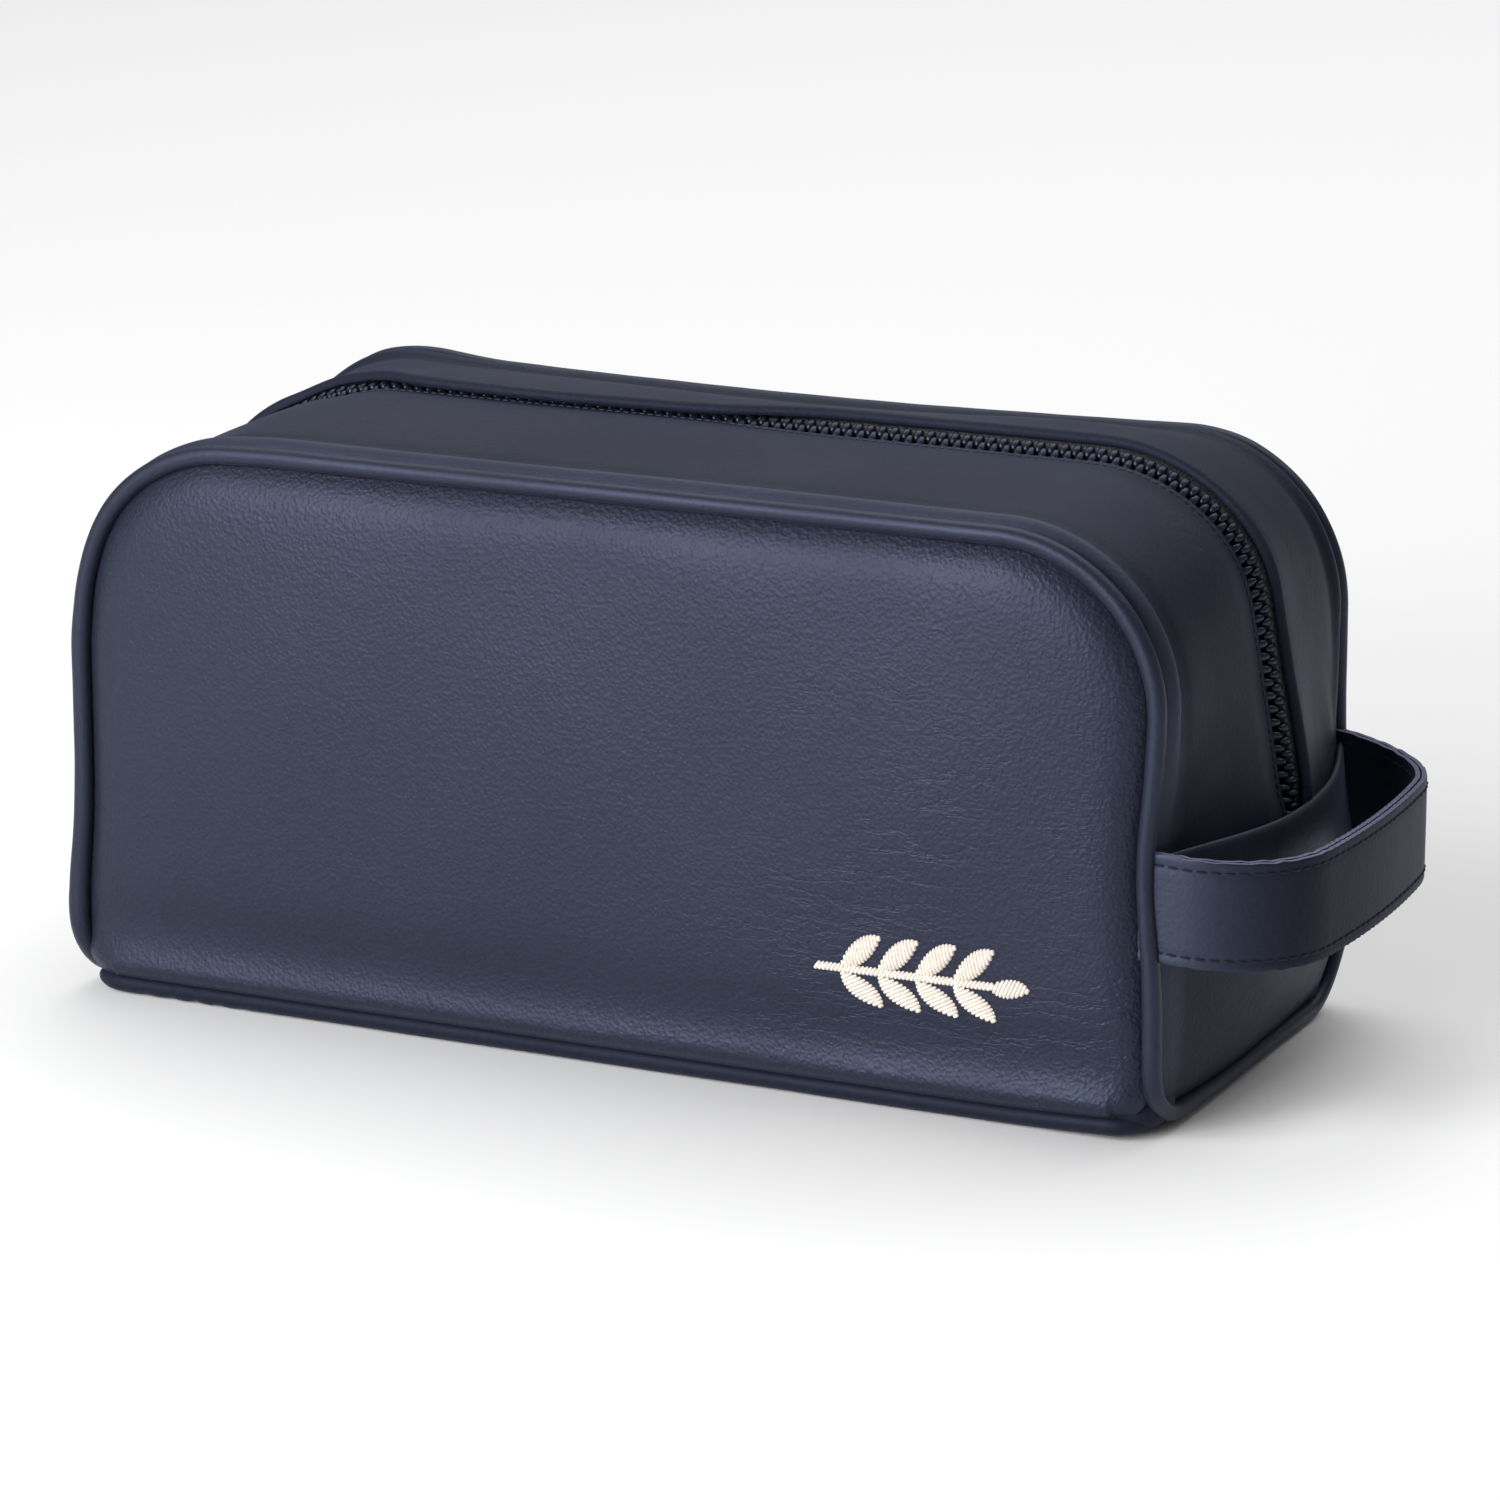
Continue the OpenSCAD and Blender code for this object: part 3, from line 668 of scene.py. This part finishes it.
def arch_piping(wall, side):
    base, _ = outline(JOIN_Z, step=1.3)
    path = base.copy()
    path[:, 1] = side * HALF_DEP
    across = np.tile([0.0, 1.0, 0.0], (len(path), 1))
    rings, faces = piping_rings(path, across, PIPING_R)
    skin = make_piece(f"{wall}_arch_piping_skin", settle(rings), faces, piping_skin)
    folding(skin, f"{wall}_wall", "piping_leather", f"{wall}_arch_piping")
    rings, faces = piping_rings(path[2:-2:2], across[2:-2:2], FILLER_R)
    core = make_piece(f"{wall}_arch_filler", settle(rings), faces, core_finish)
    folding(core, f"{wall}_wall", "piping_core", f"{wall}_arch_piping_core")


def end_run(sign):
    """Down the front seam of one end, round a quarter circle, along the base and up the back seam."""
    drop = np.linspace(JOIN_Z, PIPING_Z + BASE_BEND, 10, endpoint=False)
    a = np.linspace(0.0, math.pi / 2, 16, endpoint=False)
    half = HALF_DEP - BASE_BEND
    flat = np.linspace(half, 0.0, 30, endpoint=False)
    y = np.concatenate([0 * drop + HALF_DEP, half + BASE_BEND * np.cos(a), flat])
    z = np.concatenate([drop, PIPING_Z + BASE_BEND - BASE_BEND * np.sin(a), 0 * flat + PIPING_Z])
    y = np.concatenate([-y, [0.0], y[::-1]])
    z = np.concatenate([z, [PIPING_Z], z[::-1]])
    return place(sign * HALF_LEN + 0 * y, y, z)


def end_piping(end, sign):
    path = end_run(sign)
    across = np.tile([1.0, 0.0, 0.0], (len(path), 1))
    rings, faces = piping_rings(path, across, PIPING_R)
    skin = make_piece(f"{end}_end_piping_skin", settle(rings), faces, piping_skin)
    riding(skin, "base", "piping_leather", f"{end}_end_piping")
    rings, faces = piping_rings(path[1:-1], across[1:-1], FILLER_R)
    core = make_piece(f"{end}_end_filler", settle(rings), faces, core_finish)
    riding(core, "base", "piping_core", f"{end}_end_piping_core")


def base_piping(wall, side):
    """A straight run along the base whose ends turn in round the base's corners and grow thin,
    with a few puckers in the leather near the left end."""
    turn = np.linspace(0.0, 1.0, 15)[1:]
    x = np.linspace(-125.0, 125.0, 230)
    ahead = 125.0 + 8.5 * np.sin(turn * 1.2)
    inward = 9.0 * (1.0 - np.cos(turn * 1.2))
    x = np.concatenate([-ahead[::-1], x, ahead])
    inward = np.concatenate([inward[::-1], np.zeros(230), inward])
    thin = np.concatenate([1.0 - 0.45 * turn[::-1] ** 2, np.ones(230), 1.0 - 0.45 * turn ** 2])
    puckers = (1.0 - np.abs(np.sin(x * 0.50)) ** 0.6) * bump_at(x, -108.0, 14.0)
    thin = thin * (1.0 - 0.24 * puckers + 0.02 * np.sin(x / 9.0))
    path = place(x, side * (HALF_DEP - inward), PIPING_Z + 0.0 * x)
    across = np.tile([0.0, 1.0, 0.0], (len(path), 1))
    rings, faces = swept(path, across, round_section(PIPING_R + 0.1, 18), scale=thin)
    rings[..., 2] = np.maximum(rings[..., 2], 0.05)
    skin = make_piece(f"{wall}_base_piping_skin", settle(rings), faces, base_roll_skin)
    riding(skin, "base", "piping_leather", f"{wall}_base_piping")
    rings, faces = swept(path[3:-3:2], across[3:-3:2], round_section(1.0, 12))
    core = make_piece(f"{wall}_base_filler", settle(rings), faces, core_finish)
    riding(core, "base", "piping_core", f"{wall}_base_piping_core")


def corner_tuck(end, sign, wall, side):
    """Base leather gathered under a corner: an ellipsoid, squared a little by powers of 0.8."""
    a = np.linspace(0.0, 2 * math.pi, 41)[:-1]
    b = np.linspace(-math.pi / 2 + 0.05, math.pi / 2 - 0.05, 21)[:, None]

    def squared(v):
        return np.sign(v) * np.abs(v) ** 0.8

    ring = squared(np.cos(b))
    x = sign * (125.6 + 10.2 * ring * squared(np.cos(a))[None])
    y = side * (47.4 + 10.2 * ring * squared(np.sin(a))[None])
    z = 6.0 + 5.9 * squared(np.sin(b)) + 0.0 * x
    points = place(x, y, z)
    obj = make_piece(f"{wall}_{end}_corner_tuck", points, capped_quads(*x.shape), base_roll_skin)
    riding(obj, "base", "navy_leather")


for wall, side in WALLS:
    for end, sign in ENDS:
        corner_tuck(end, sign, wall, side)

for wall, side in WALLS:
    arch_piping(wall, side)
    base_piping(wall, side)
for end, sign in ENDS:
    end_piping(end, sign)


# ---- Ends: the leather below the gusset, and the patch behind the handle ----

def end_surface(sign, y, z, off=0.0):
    """x of an end at depth y and height z: the bulged side, drawn in towards the base seam."""
    drawn = 0.25 + 0.75 * ease(2.0, 22.0, z)
    return sign * (HALF_LEN + bulge_at(y) * drawn + off)


def end_panel(end, sign):
    """A grid over depth and height, drawn in at the base and tucked behind the piping at both sides."""
    t = np.sin(np.linspace(-1.0, 1.0, 91) * 1.35) / math.sin(1.35)
    z = np.linspace(3.2, TAIL_Z + 2.0, 50)
    low = np.maximum(PIPING_Z + BASE_BEND - z, 0.0)
    half = HALF_DEP - BASE_BEND + np.sqrt(np.maximum(BASE_BEND ** 2 - low ** 2, 0.0)) - 1.2
    y, z = t[None] * half[:, None], z[:, None] + 0 * t[None]
    rim = np.minimum(half[:, None] - np.abs(y), z - 3.2)
    tuck = 1.6 * (1.0 - ease(0.0, 7.0, rim))
    soft = 0.35 * np.sin(y / 14.0 + z / 11.0) * ease(2.0, 20.0, rim)
    outer = place(end_surface(sign, y, z, -0.1) + sign * (soft - tuck), y, z)
    inner = place(end_surface(sign, y, z, -1.7) + sign * (soft - tuck), y, z)
    obj = body_shell(f"{end}_end_skin", outer, inner, gusset_leather)
    riding(obj, "base", "navy_leather", f"{end}_end_panel")


for end, sign in ENDS:
    end_panel(end, sign)


PATCH_HALF = 54.3
PATCH_FOOT = 43.0
PATCH_TOP = 63.4


def patch():
    """The patch lies over the end of the gusset; its top edge is a round roll that stands off."""
    y = np.linspace(-PATCH_HALF, PATCH_HALF, 110)
    t = np.linspace(0.0, 1.0, 30)
    z_flat = PATCH_FOOT + (PATCH_TOP - PATCH_FOOT) * t
    a = np.linspace(0.2, math.pi, 9)
    off = np.concatenate([0.0 * t + 1.75, 0.95 + 0.8 * np.cos(a)])
    z = np.concatenate([z_flat, 63.6 + 1.5 * np.sin(a)])
    inner_off = np.concatenate([0.0 * t + 0.15, np.full(9, 0.15)])
    inner_z = np.concatenate([z_flat, np.linspace(PATCH_TOP, 63.2, 9)])
    y, z, off = y[None] + 0 * z[:, None], z[:, None] + 0 * y[None], off[:, None]
    slack = 1.5 * ease(50.0, 63.0, z) * (1 - (y / PATCH_HALF) ** 2)
    outer = place(end_surface(1.0, y, z) + off + slack, y, z)
    inner_z = inner_z[:, None] + 0 * y
    inner = place(end_surface(1.0, y, inner_z) + inner_off[:, None] + slack, y, inner_z)
    obj = body_shell("handle_patch_skin", outer, inner, strap_skin)
    riding(obj, "base", "navy_leather", "handle_patch")


patch()


# ---- Handle ----

STRAP_X = HALF_LEN + 1.7
STRAP_Y = HALF_DEP - 1.5
STRAP_BEND = 28.0
STRAP_TURN = math.radians(84.0)
STRAP_ARC_R = STRAP_BEND + (STRAP_Y - STRAP_BEND) / math.cos(STRAP_TURN)
STRAP_ARC_X = STRAP_X - (STRAP_ARC_R - STRAP_BEND) * math.sin(STRAP_TURN)
STRAP_Z = 52.9
STRAP_HALF = 12.2
STRAP_SAG = 0.6
ROOT_RISE = 1.3
STRAP_LEAD = 5.5


def strap_plan(off):
    """Seen from above: a lead-in behind the piping, a bend at each seam and one wide arc between,
    off from the middle line."""
    lead = np.linspace(-STRAP_LEAD, 0.0, 6, endpoint=False)
    a = np.linspace(0.0, STRAP_TURN, 22, endpoint=False)
    w = np.linspace(-(math.pi / 2 - STRAP_TURN), math.pi / 2 - STRAP_TURN, 70)
    bend_x = STRAP_X + (STRAP_BEND + off) * np.sin(a)
    bend_y = STRAP_BEND - STRAP_Y - (STRAP_BEND + off) * np.cos(a)
    root_x = STRAP_X + lead
    root_y = 0.0 * lead - STRAP_Y - off
    arc_x = STRAP_ARC_X + (STRAP_ARC_R + off) * np.cos(w)
    arc_y = (STRAP_ARC_R + off) * np.sin(w)
    x = np.concatenate([root_x, bend_x, arc_x, bend_x[::-1], root_x[::-1]])
    y = np.concatenate([root_y, bend_y, arc_y, -bend_y[::-1], -root_y[::-1]])
    return x, y


def strap_height(x, y):
    """The strap's middle line: highest at its roots, more so at the back, and level round the loop."""
    reach = np.clip((x - STRAP_X) / 29.0, 0.0, 1.0)
    root = ROOT_RISE + ROOT_RISE * ease(-10.0, 40.0, y)
    return STRAP_Z - STRAP_SAG * reach ** 2 + root * (1.0 - reach) ** 2


def strap_layer(name, off, finish, bow):
    """One layer of the strap: the plan carried over the strap's width, with soft long edges.
    The middle of the width stands off - bow * v^2 from the other layer."""
    x, y = strap_plan(off)
    tangent = unit(np.gradient(np.stack([x, y], -1), axis=0))
    nx, ny = tangent[:, 1], -tangent[:, 0]
    v = np.sin(np.linspace(-1, 1, 31) * 1.5) / math.sin(1.5)
    half_t = 0.66
    w = STRAP_HALF * v
    round_off = np.clip((np.abs(w) - (STRAP_HALF - 0.55)) / 0.55, 0, 1)
    thick = half_t * (1.0 - 0.18 * round_off ** 2)
    groove = -0.22 * bump_at(np.abs(w), STRAP_HALF - 2.3, 0.5)
    curve = bow * (1 - v ** 2)
    out_off = (thick + groove + curve)[None]
    in_off = (-thick + curve)[None]
    run = np.arange(len(x))
    ragged = 0.10 * np.sin(run * 1.9 + off) + 0.09 * np.sin(run * 3.7 + 4.0 * off)
    z = strap_height(x, y)[:, None] + w[None] + ragged[:, None] * v[None] ** 15
    outer = place(x[:, None] + nx[:, None] * out_off, y[:, None] + ny[:, None] * out_off, z)
    inner = place(x[:, None] + nx[:, None] * in_off, y[:, None] + ny[:, None] * in_off, z)
    points, faces = shell(outer, inner)
    obj = make_piece(name, points, faces, finish)
    obj.data.materials.append(raw_edge)
    count = len(obj.data.polygons)
    rim = 2 * (30 * (len(x) - 1))
    index = np.zeros(count, np.int32)
    index[rim:] = 1
    obj.data.polygons.foreach_set("material_index", index)
    return obj, x, y, nx, ny


def on_handle(obj, slot, *nodes):
    """The strap is sewn in at the seams and free in the loop; this bakes the piece's transform into its mesh
    and hides the CAD parts it stands for.
    """
    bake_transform(obj)
    if nodes:
        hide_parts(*nodes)


outer_strap, sx, sy, snx, sny = strap_layer("strap_outer", 0.75, strap_skin, 0.05)
on_handle(outer_strap, "strap_leather", "handle_strap_outer", "handle_root_outer")
inner_strap, ix, iy, inx, iny = strap_layer("strap_inner", -0.75, strap_skin, 0.0)
on_handle(inner_strap, "strap_leather", "handle_strap_inner", "handle_root_inner")

rows = []
for z_row in (-STRAP_HALF + 2.3, STRAP_HALF - 2.3):
    for px, py, qx, qy, flip, lift in ((sx, sy, snx, sny, 1.0, 0.60), (ix, iy, inx, iny, -1.0, 0.70)):
        line = place(px, py, strap_height(px, py) + z_row)
        normal = place(flip * qx, flip * qy, 0 * qx)
        rows.append(stitches(line, normal, pitch=3.1, length=2.3, radius=0.26, lift=lift))
template, faces = rows[0][:2]
at, axes = (np.concatenate([r[k] for r in rows]) for k in (2, 3))
points, faces = repeated(template, faces, at, axes)
strap_thread = make_piece("strap_stitching", points, faces, thread_navy, soft_edges=None)
on_handle(strap_thread, "strap_leather")


# ---- Emblem: a leaf sprig in satin stitch ----

def satin(x0, z0, angle, length, width):
    """Parallel threads laid across a leaf: half-widths follow the lens between two equal arcs."""
    r = (length ** 2 + width ** 2) / (4 * width)
    u = np.arange(0.5, length - 0.2, 0.92)
    half = np.sqrt(np.maximum(r ** 2 - (u - length / 2) ** 2, 0)) - (r - width / 2)
    half = np.maximum(half, 0.25)
    ca, sa = math.cos(angle), math.sin(angle)
    x = x0 + u * ca
    z = z0 + u * sa
    lean = 0.45
    dx = -sa + lean * ca
    dz = ca + lean * sa
    size = math.hypot(dx, dz)
    return x, z, 0 * u + dx / size, 0 * u + dz / size, half


def emblem():
    """Each leaf is a fan of threads, and the stem is a line of short slanting ones."""
    parts = []
    for k in range(4):
        for m in (1.0, -1.0):
            parts.append(satin(82 + k * 9 - 19, 33 + m * 0.9, m * math.radians(38), 12.0, 5.2))
    parts.append(satin(98.5, 33, 0.0, 9.2, 4.6))
    u = np.arange(57.2, 99.4, 0.96)
    parts.append((u, 33 + 0 * u, 0 * u + 0.6, 0 * u + 0.8, 0 * u + 0.95))
    x, z, dx, dz, half = (np.concatenate([p[k] for p in parts]) for k in range(5))
    surface = -(HALF_DEP + crown_at(x, z))
    at = place(x, surface - 0.05, z)
    template, faces = capsule(2.0, 1.0, sides=8)
    along = place(dx, 0 * dx, dz) * (half + 0.2)[:, None]
    across = place(-dz, 0 * dx, dx) * 0.50
    out = place(0 * dx, 0 * dx - 1.0, 0 * dx) * np.minimum(0.50 + 0.12 * half, 0.80)[:, None]
    points, faces = repeated(template, faces, at, np.stack([along, across, out], 1))
    obj = make_piece("emblem_satin", settle(points), faces, thread_cream, soft_edges=None)
    riding(obj, "base", "emblem_thread", "emblem")


emblem()


# ---- Zip ----

TOOTH_PITCH = 3.0


def tooth_template():
    """A moulded tooth: two rows of rings, a narrow shank behind a rounded head."""
    across = np.array([0.0, 0.4, 1.3, 2.0, 2.8, 3.1])
    along = np.array([0.70, 1.02, 0.98, 0.80, 0.66, 0.30])
    high = np.array([0.45, 0.80, 0.95, 1.05, 0.80, 0.35])
    a = (np.arange(8) + 0.5) * math.pi / 4
    ring = np.sign(np.cos(a)) * np.abs(np.cos(a)) ** 0.6, np.sign(np.sin(a)) * np.abs(np.sin(a)) ** 0.6
    y = np.repeat(across[:, None], 8, 1)
    s = along[:, None] * ring[0][None]
    n = high[:, None] * ring[1][None]
    return np.stack([y, s, n], -1).reshape(-1, 3), capped_quads(*y.shape)


def zip_row(wall, side, shift):
    """Teeth at an even pitch along the outline, heads towards the other row, and the tape they bite."""
    base, normal = outline(46.5, step=0.5)
    run = run_along(base + normal * BULGE)
    where = np.arange(1.0 + shift, run[-1] - 1.0, TOOTH_PITCH)
    at = read_at(where, run, base + normal * (BULGE - 1.1))
    out = unit(read_at(where, run, normal))
    angle = zip_lean(at[:, 0], at[:, 2])[:, None]
    level = np.array([[0.0, 1.0, 0.0]])
    chain = level * np.cos(angle) + out * np.sin(angle)
    out = out * np.cos(angle) - level * np.sin(angle)
    inwards = -side * chain
    along = np.cross(out, inwards)
    at = at + side * 2.55 * chain
    template, faces = tooth_template()
    points, faces = repeated(template, faces, at, np.stack([inwards, along, out], 1))
    teeth = make_piece(f"{wall}_tooth_row", settle(points), faces, tooth_gloss, soft_edges=math.radians(60))
    folding(teeth, f"{wall}_wall", "zip_tooth_plastic", f"{wall}_zip_teeth")
    base, normal = outline(TAIL_Z - 1.0)
    depth = np.linspace(14.0, 1.6, 18)
    x, z = base[:, :1], base[:, 2:3]
    lift = -1.75 + 0.75 * bump_at(depth, 1.8, 0.8)[None] + leaned(depth[None], x, z, side, LEAN_SPREAD[wall])
    outer = on_gusset(base, normal, side * depth, lift)
    inner = on_gusset(base, normal, side * depth, lift - 0.55 - 0.5 * bump_at(depth, 1.8, 0.8)[None])
    tape = body_shell(f"{wall}_tape", outer, inner, tape_weave)
    folding(tape, f"{wall}_wall", "zip_tape_cloth", f"{wall}_zip_tape")
    return teeth, tape


front_teeth, front_tape = zip_row("front", -1.0, 0.0)
zip_row("back", 1.0, 1.5)
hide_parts("zip_tail_teeth")
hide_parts("zip_tail_tape")


# ---- Linings, base and pocket ----

def wall_lining(wall, side):
    """A flat cloth face inside the padding, with shallow pulls."""
    z, width = panel_rows()
    keep = z > 8.0
    z, width = z[keep][::2], (width[keep] - 2.2)[::2]
    t = np.linspace(-1.0, 1.0, 121)
    x = width[:, None] * t[None]
    z = np.minimum(z[:, None], TOP_Z - 4.0) + 0.0 * x
    pull = 0.25 * np.sin(x / 19.0) * np.sin(z / 15.0) + 0.12 * np.sin(x / 5.0 + z / 9.0)
    outer = place(x, side * (HALF_DEP - 3.65 + 0.1 * pull), z)
    inner = place(x, side * (HALF_DEP - 4.5 + 0.4 * pull - 0.1), z)
    obj = body_shell(f"{wall}_lining_cloth", outer, inner, lining_weave)
    folding(obj, f"{wall}_wall", "lining_cloth", f"{wall}_lining_lower", f"{wall}_lining_upper")


def gusset_lining(wall, side):
    base, normal = outline(66.5)
    depth = np.linspace(52.2, 6.2, 40)
    lift = np.full((1, 40), -2.5) + 0.12 * np.sin(depth / 4.0)[None] + 0.0 * base[:, :1]
    outer = on_gusset(base, normal, side * depth, lift)
    inner = on_gusset(base, normal, side * depth, lift - 0.8)
    obj = body_shell(f"{wall}_gusset_cloth", outer, inner, lining_weave)
    folding(obj, f"{wall}_wall", "lining_cloth", f"{wall}_gusset_lining")


for wall, side in WALLS:
    wall_lining(wall, side)
    gusset_lining(wall, side)


def end_lining(end, sign):
    y = np.linspace(-50.0, 50.0, 70)[None]
    z = np.linspace(6.0, 65.5, 40)[:, None]
    y, z = y + 0 * z, z + 0 * y
    soft = 0.3 * np.sin(y / 12.0 + z / 9.0)
    outer = place(end_surface(sign, y, z, -4.6) + sign * 0.2 * soft, y, z)
    inner = place(end_surface(sign, y, z, -5.5) + sign * soft, y, z)
    obj = body_shell(f"{end}_end_cloth", outer, inner, lining_weave)
    riding(obj, "base", "lining_cloth", f"{end}_end_lining")


for end, sign in ENDS:
    end_lining(end, sign)


def flat_slab(name, half_x, half_y, low, high, finish, wave, corner=6.0):
    """A sheet with rounded corners over the base: x narrows by the corner's arc as y nears its edge."""
    y = np.sin(np.linspace(-1.0, 1.0, 61) * 1.5) / math.sin(1.5) * half_y
    inset = corner - np.sqrt(np.maximum(corner ** 2 - np.maximum(np.abs(y) - (half_y - corner), 0) ** 2, 0))
    t = np.sin(np.linspace(-1.0, 1.0, 141) * 1.45) / math.sin(1.45)
    x = (half_x - inset)[:, None] * t[None]
    y = y[:, None] + 0 * x
    edge = np.maximum(np.abs(x) - (half_x - inset[:, None]) + 2.0, 0) / 2.0
    edge = np.maximum(edge, np.maximum(np.abs(y) - half_y + 2.0, 0) / 2.0)
    ripple = wave * np.sin(x / 21.0) * np.sin(y / 17.0)
    top = place(x, y, high - 0.4 * edge ** 2 * (high - low) + ripple)
    bottom = place(x, y, low + 0.25 * edge ** 2 * (high - low) + 0 * x)
    points, faces = shell(top, bottom)
    return make_piece(name, points, faces, finish)


base_skin = flat_slab("base_skin", 132.6, 55.0, 0.0, 1.8, gusset_leather, 0.0, corner=12.0)
riding(base_skin, "base", "navy_leather", "base_panel")
stiffener = flat_slab("base_stiffener", 128, 50, 1.95, 3.85, board_finish, 0.0)
riding(stiffener, "base", "stiffener_board", "base_board")
base_cloth = flat_slab("base_cloth", 128, 50, 4.0, 4.9, lining_weave, 0.12)
riding(base_cloth, "base", "lining_cloth", "base_lining")


POCKET_HALF = 80.0
POCKET_FOOT = 12.0
POCKET_TOP = 57.0


def pocket():
    """An open-topped pocket on the back lining that bows away from it, under a rolled leather binding."""
    x = np.linspace(-POCKET_HALF, POCKET_HALF, 101)[None]
    z = np.linspace(POCKET_FOOT, POCKET_TOP, 36)[:, None]
    x, z = x + 0 * z, z + 0 * x
    bow = 0.9 * (1 - (x / POCKET_HALF) ** 2) * ease(POCKET_FOOT, POCKET_TOP, z) + 0.1 * np.sin(x / 6.0)
    y = HALF_DEP - 5.0 - bow
    points, faces = shell(place(x, y, z), place(x, y - 0.8, z))
    cloth = make_piece("slip_pocket_cloth", points, faces, lining_weave)
    riding(cloth, "base", "lining_cloth", "slip_pocket")
    run = np.linspace(-POCKET_HALF, POCKET_HALF, 90)
    bow = 0.9 * (1 - (run / POCKET_HALF) ** 2) + 0.1 * np.sin(run / 6.0)
    path = place(run, HALF_DEP - 5.35 - bow, POCKET_TOP + 1.6 + 0 * run)
    a = (np.arange(16) + 0.5) * math.pi / 8
    section = np.stack([0.75 * np.cos(a), 2.4 * np.sign(np.sin(a)) * np.abs(np.sin(a)) ** 0.5], -1)
    rings, faces = swept(path, np.tile([0.0, 1.0, 0.0], (90, 1)), section)
    roll = make_piece("pocket_binding_roll", rings, faces, piping_skin)
    riding(roll, "base", "navy_leather", "pocket_binding")


pocket()


# ---- Metal parts keep their CAD shape with a nickel finish ----

METAL = ("zip_slider", "pull_link", "zip_top_stops", "zip_bottom_stop")
for name, finish in [(name, nickel) for name in METAL] + [("pull_tab", strap_skin)]:
    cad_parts[name].data.materials.clear()
    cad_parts[name].data.materials.append(finish)


# ---- Floor, lights and camera ----

def floor_finish():
    finish, _, shader, _ = new_finish("floor_paper")
    shader.inputs["Base Color"].default_value = (0.94, 0.94, 0.94, 1.0)
    shader.inputs["Roughness"].default_value = 0.75
    shader.inputs["Specular IOR Level"].default_value = 0.2
    return finish


floor_mesh = bpy.data.meshes.new("floor")
floor_mesh.from_pydata([(-6, -6, 0), (6, -6, 0), (6, 6, 0), (-6, 6, 0)], [], [(0, 1, 2, 3)])
floor_mesh.materials.append(floor_finish())
floor = stand("floor", floor_mesh)

world = bpy.data.worlds.new("studio")
bpy.context.scene.world = world
world.use_nodes = True
world.node_tree.nodes["Background"].inputs["Color"].default_value = (1.0, 1.0, 1.0, 1.0)
world.node_tree.nodes["Background"].inputs["Strength"].default_value = 0.20

LOOK_AT = Vector((0.0, 0.0, 0.065))


def soft_box(name, at, width, height, watts, aim=LOOK_AT):
    light = bpy.data.lights.new(name, "AREA")
    light.shape = "RECTANGLE"
    light.size = width
    light.size_y = height
    light.energy = watts
    obj = stand(name, light)
    obj.location = Vector(at)
    obj.rotation_euler = (aim - obj.location).to_track_quat("-Z", "Y").to_euler()


soft_box("key", (-0.75, -1.15, 0.98), 0.9, 0.8, 14.0)
soft_box("sheen", (-0.42, -1.50, 0.46), 0.9, 0.5, 20.0)
soft_box("top", (0.0, 1.5, 2.4), 4.0, 3.0, 70.0, aim=Vector((0.0, 1.5, 0.0)))

AZIMUTH = math.radians(25.29)
ELEVATION = math.radians(15.23)
DISTANCE = 1.429
SIDE_SHIFT = 0.00966
UP_SHIFT = -0.00448
SENSOR = 36.0
LENS = 146.256

right = Vector((math.cos(AZIMUTH), math.sin(AZIMUTH), 0.0))
level = math.cos(ELEVATION)
back = Vector((math.sin(AZIMUTH) * level, -math.cos(AZIMUTH) * level, math.sin(ELEVATION)))
up = back.cross(right)
camera_data = bpy.data.cameras.new("camera")
camera = stand("camera", camera_data)
camera_data.sensor_width = SENSOR
camera_data.lens = LENS
camera_data.clip_start = 0.05
camera_data.clip_end = 30.0
target = LOOK_AT + right * SIDE_SHIFT + up * UP_SHIFT
camera.location = target + back * DISTANCE
camera.rotation_euler = back.to_track_quat("Z", "Y").to_euler()
bpy.context.scene.camera = camera
bpy.context.scene.view_settings.view_transform = "Standard"
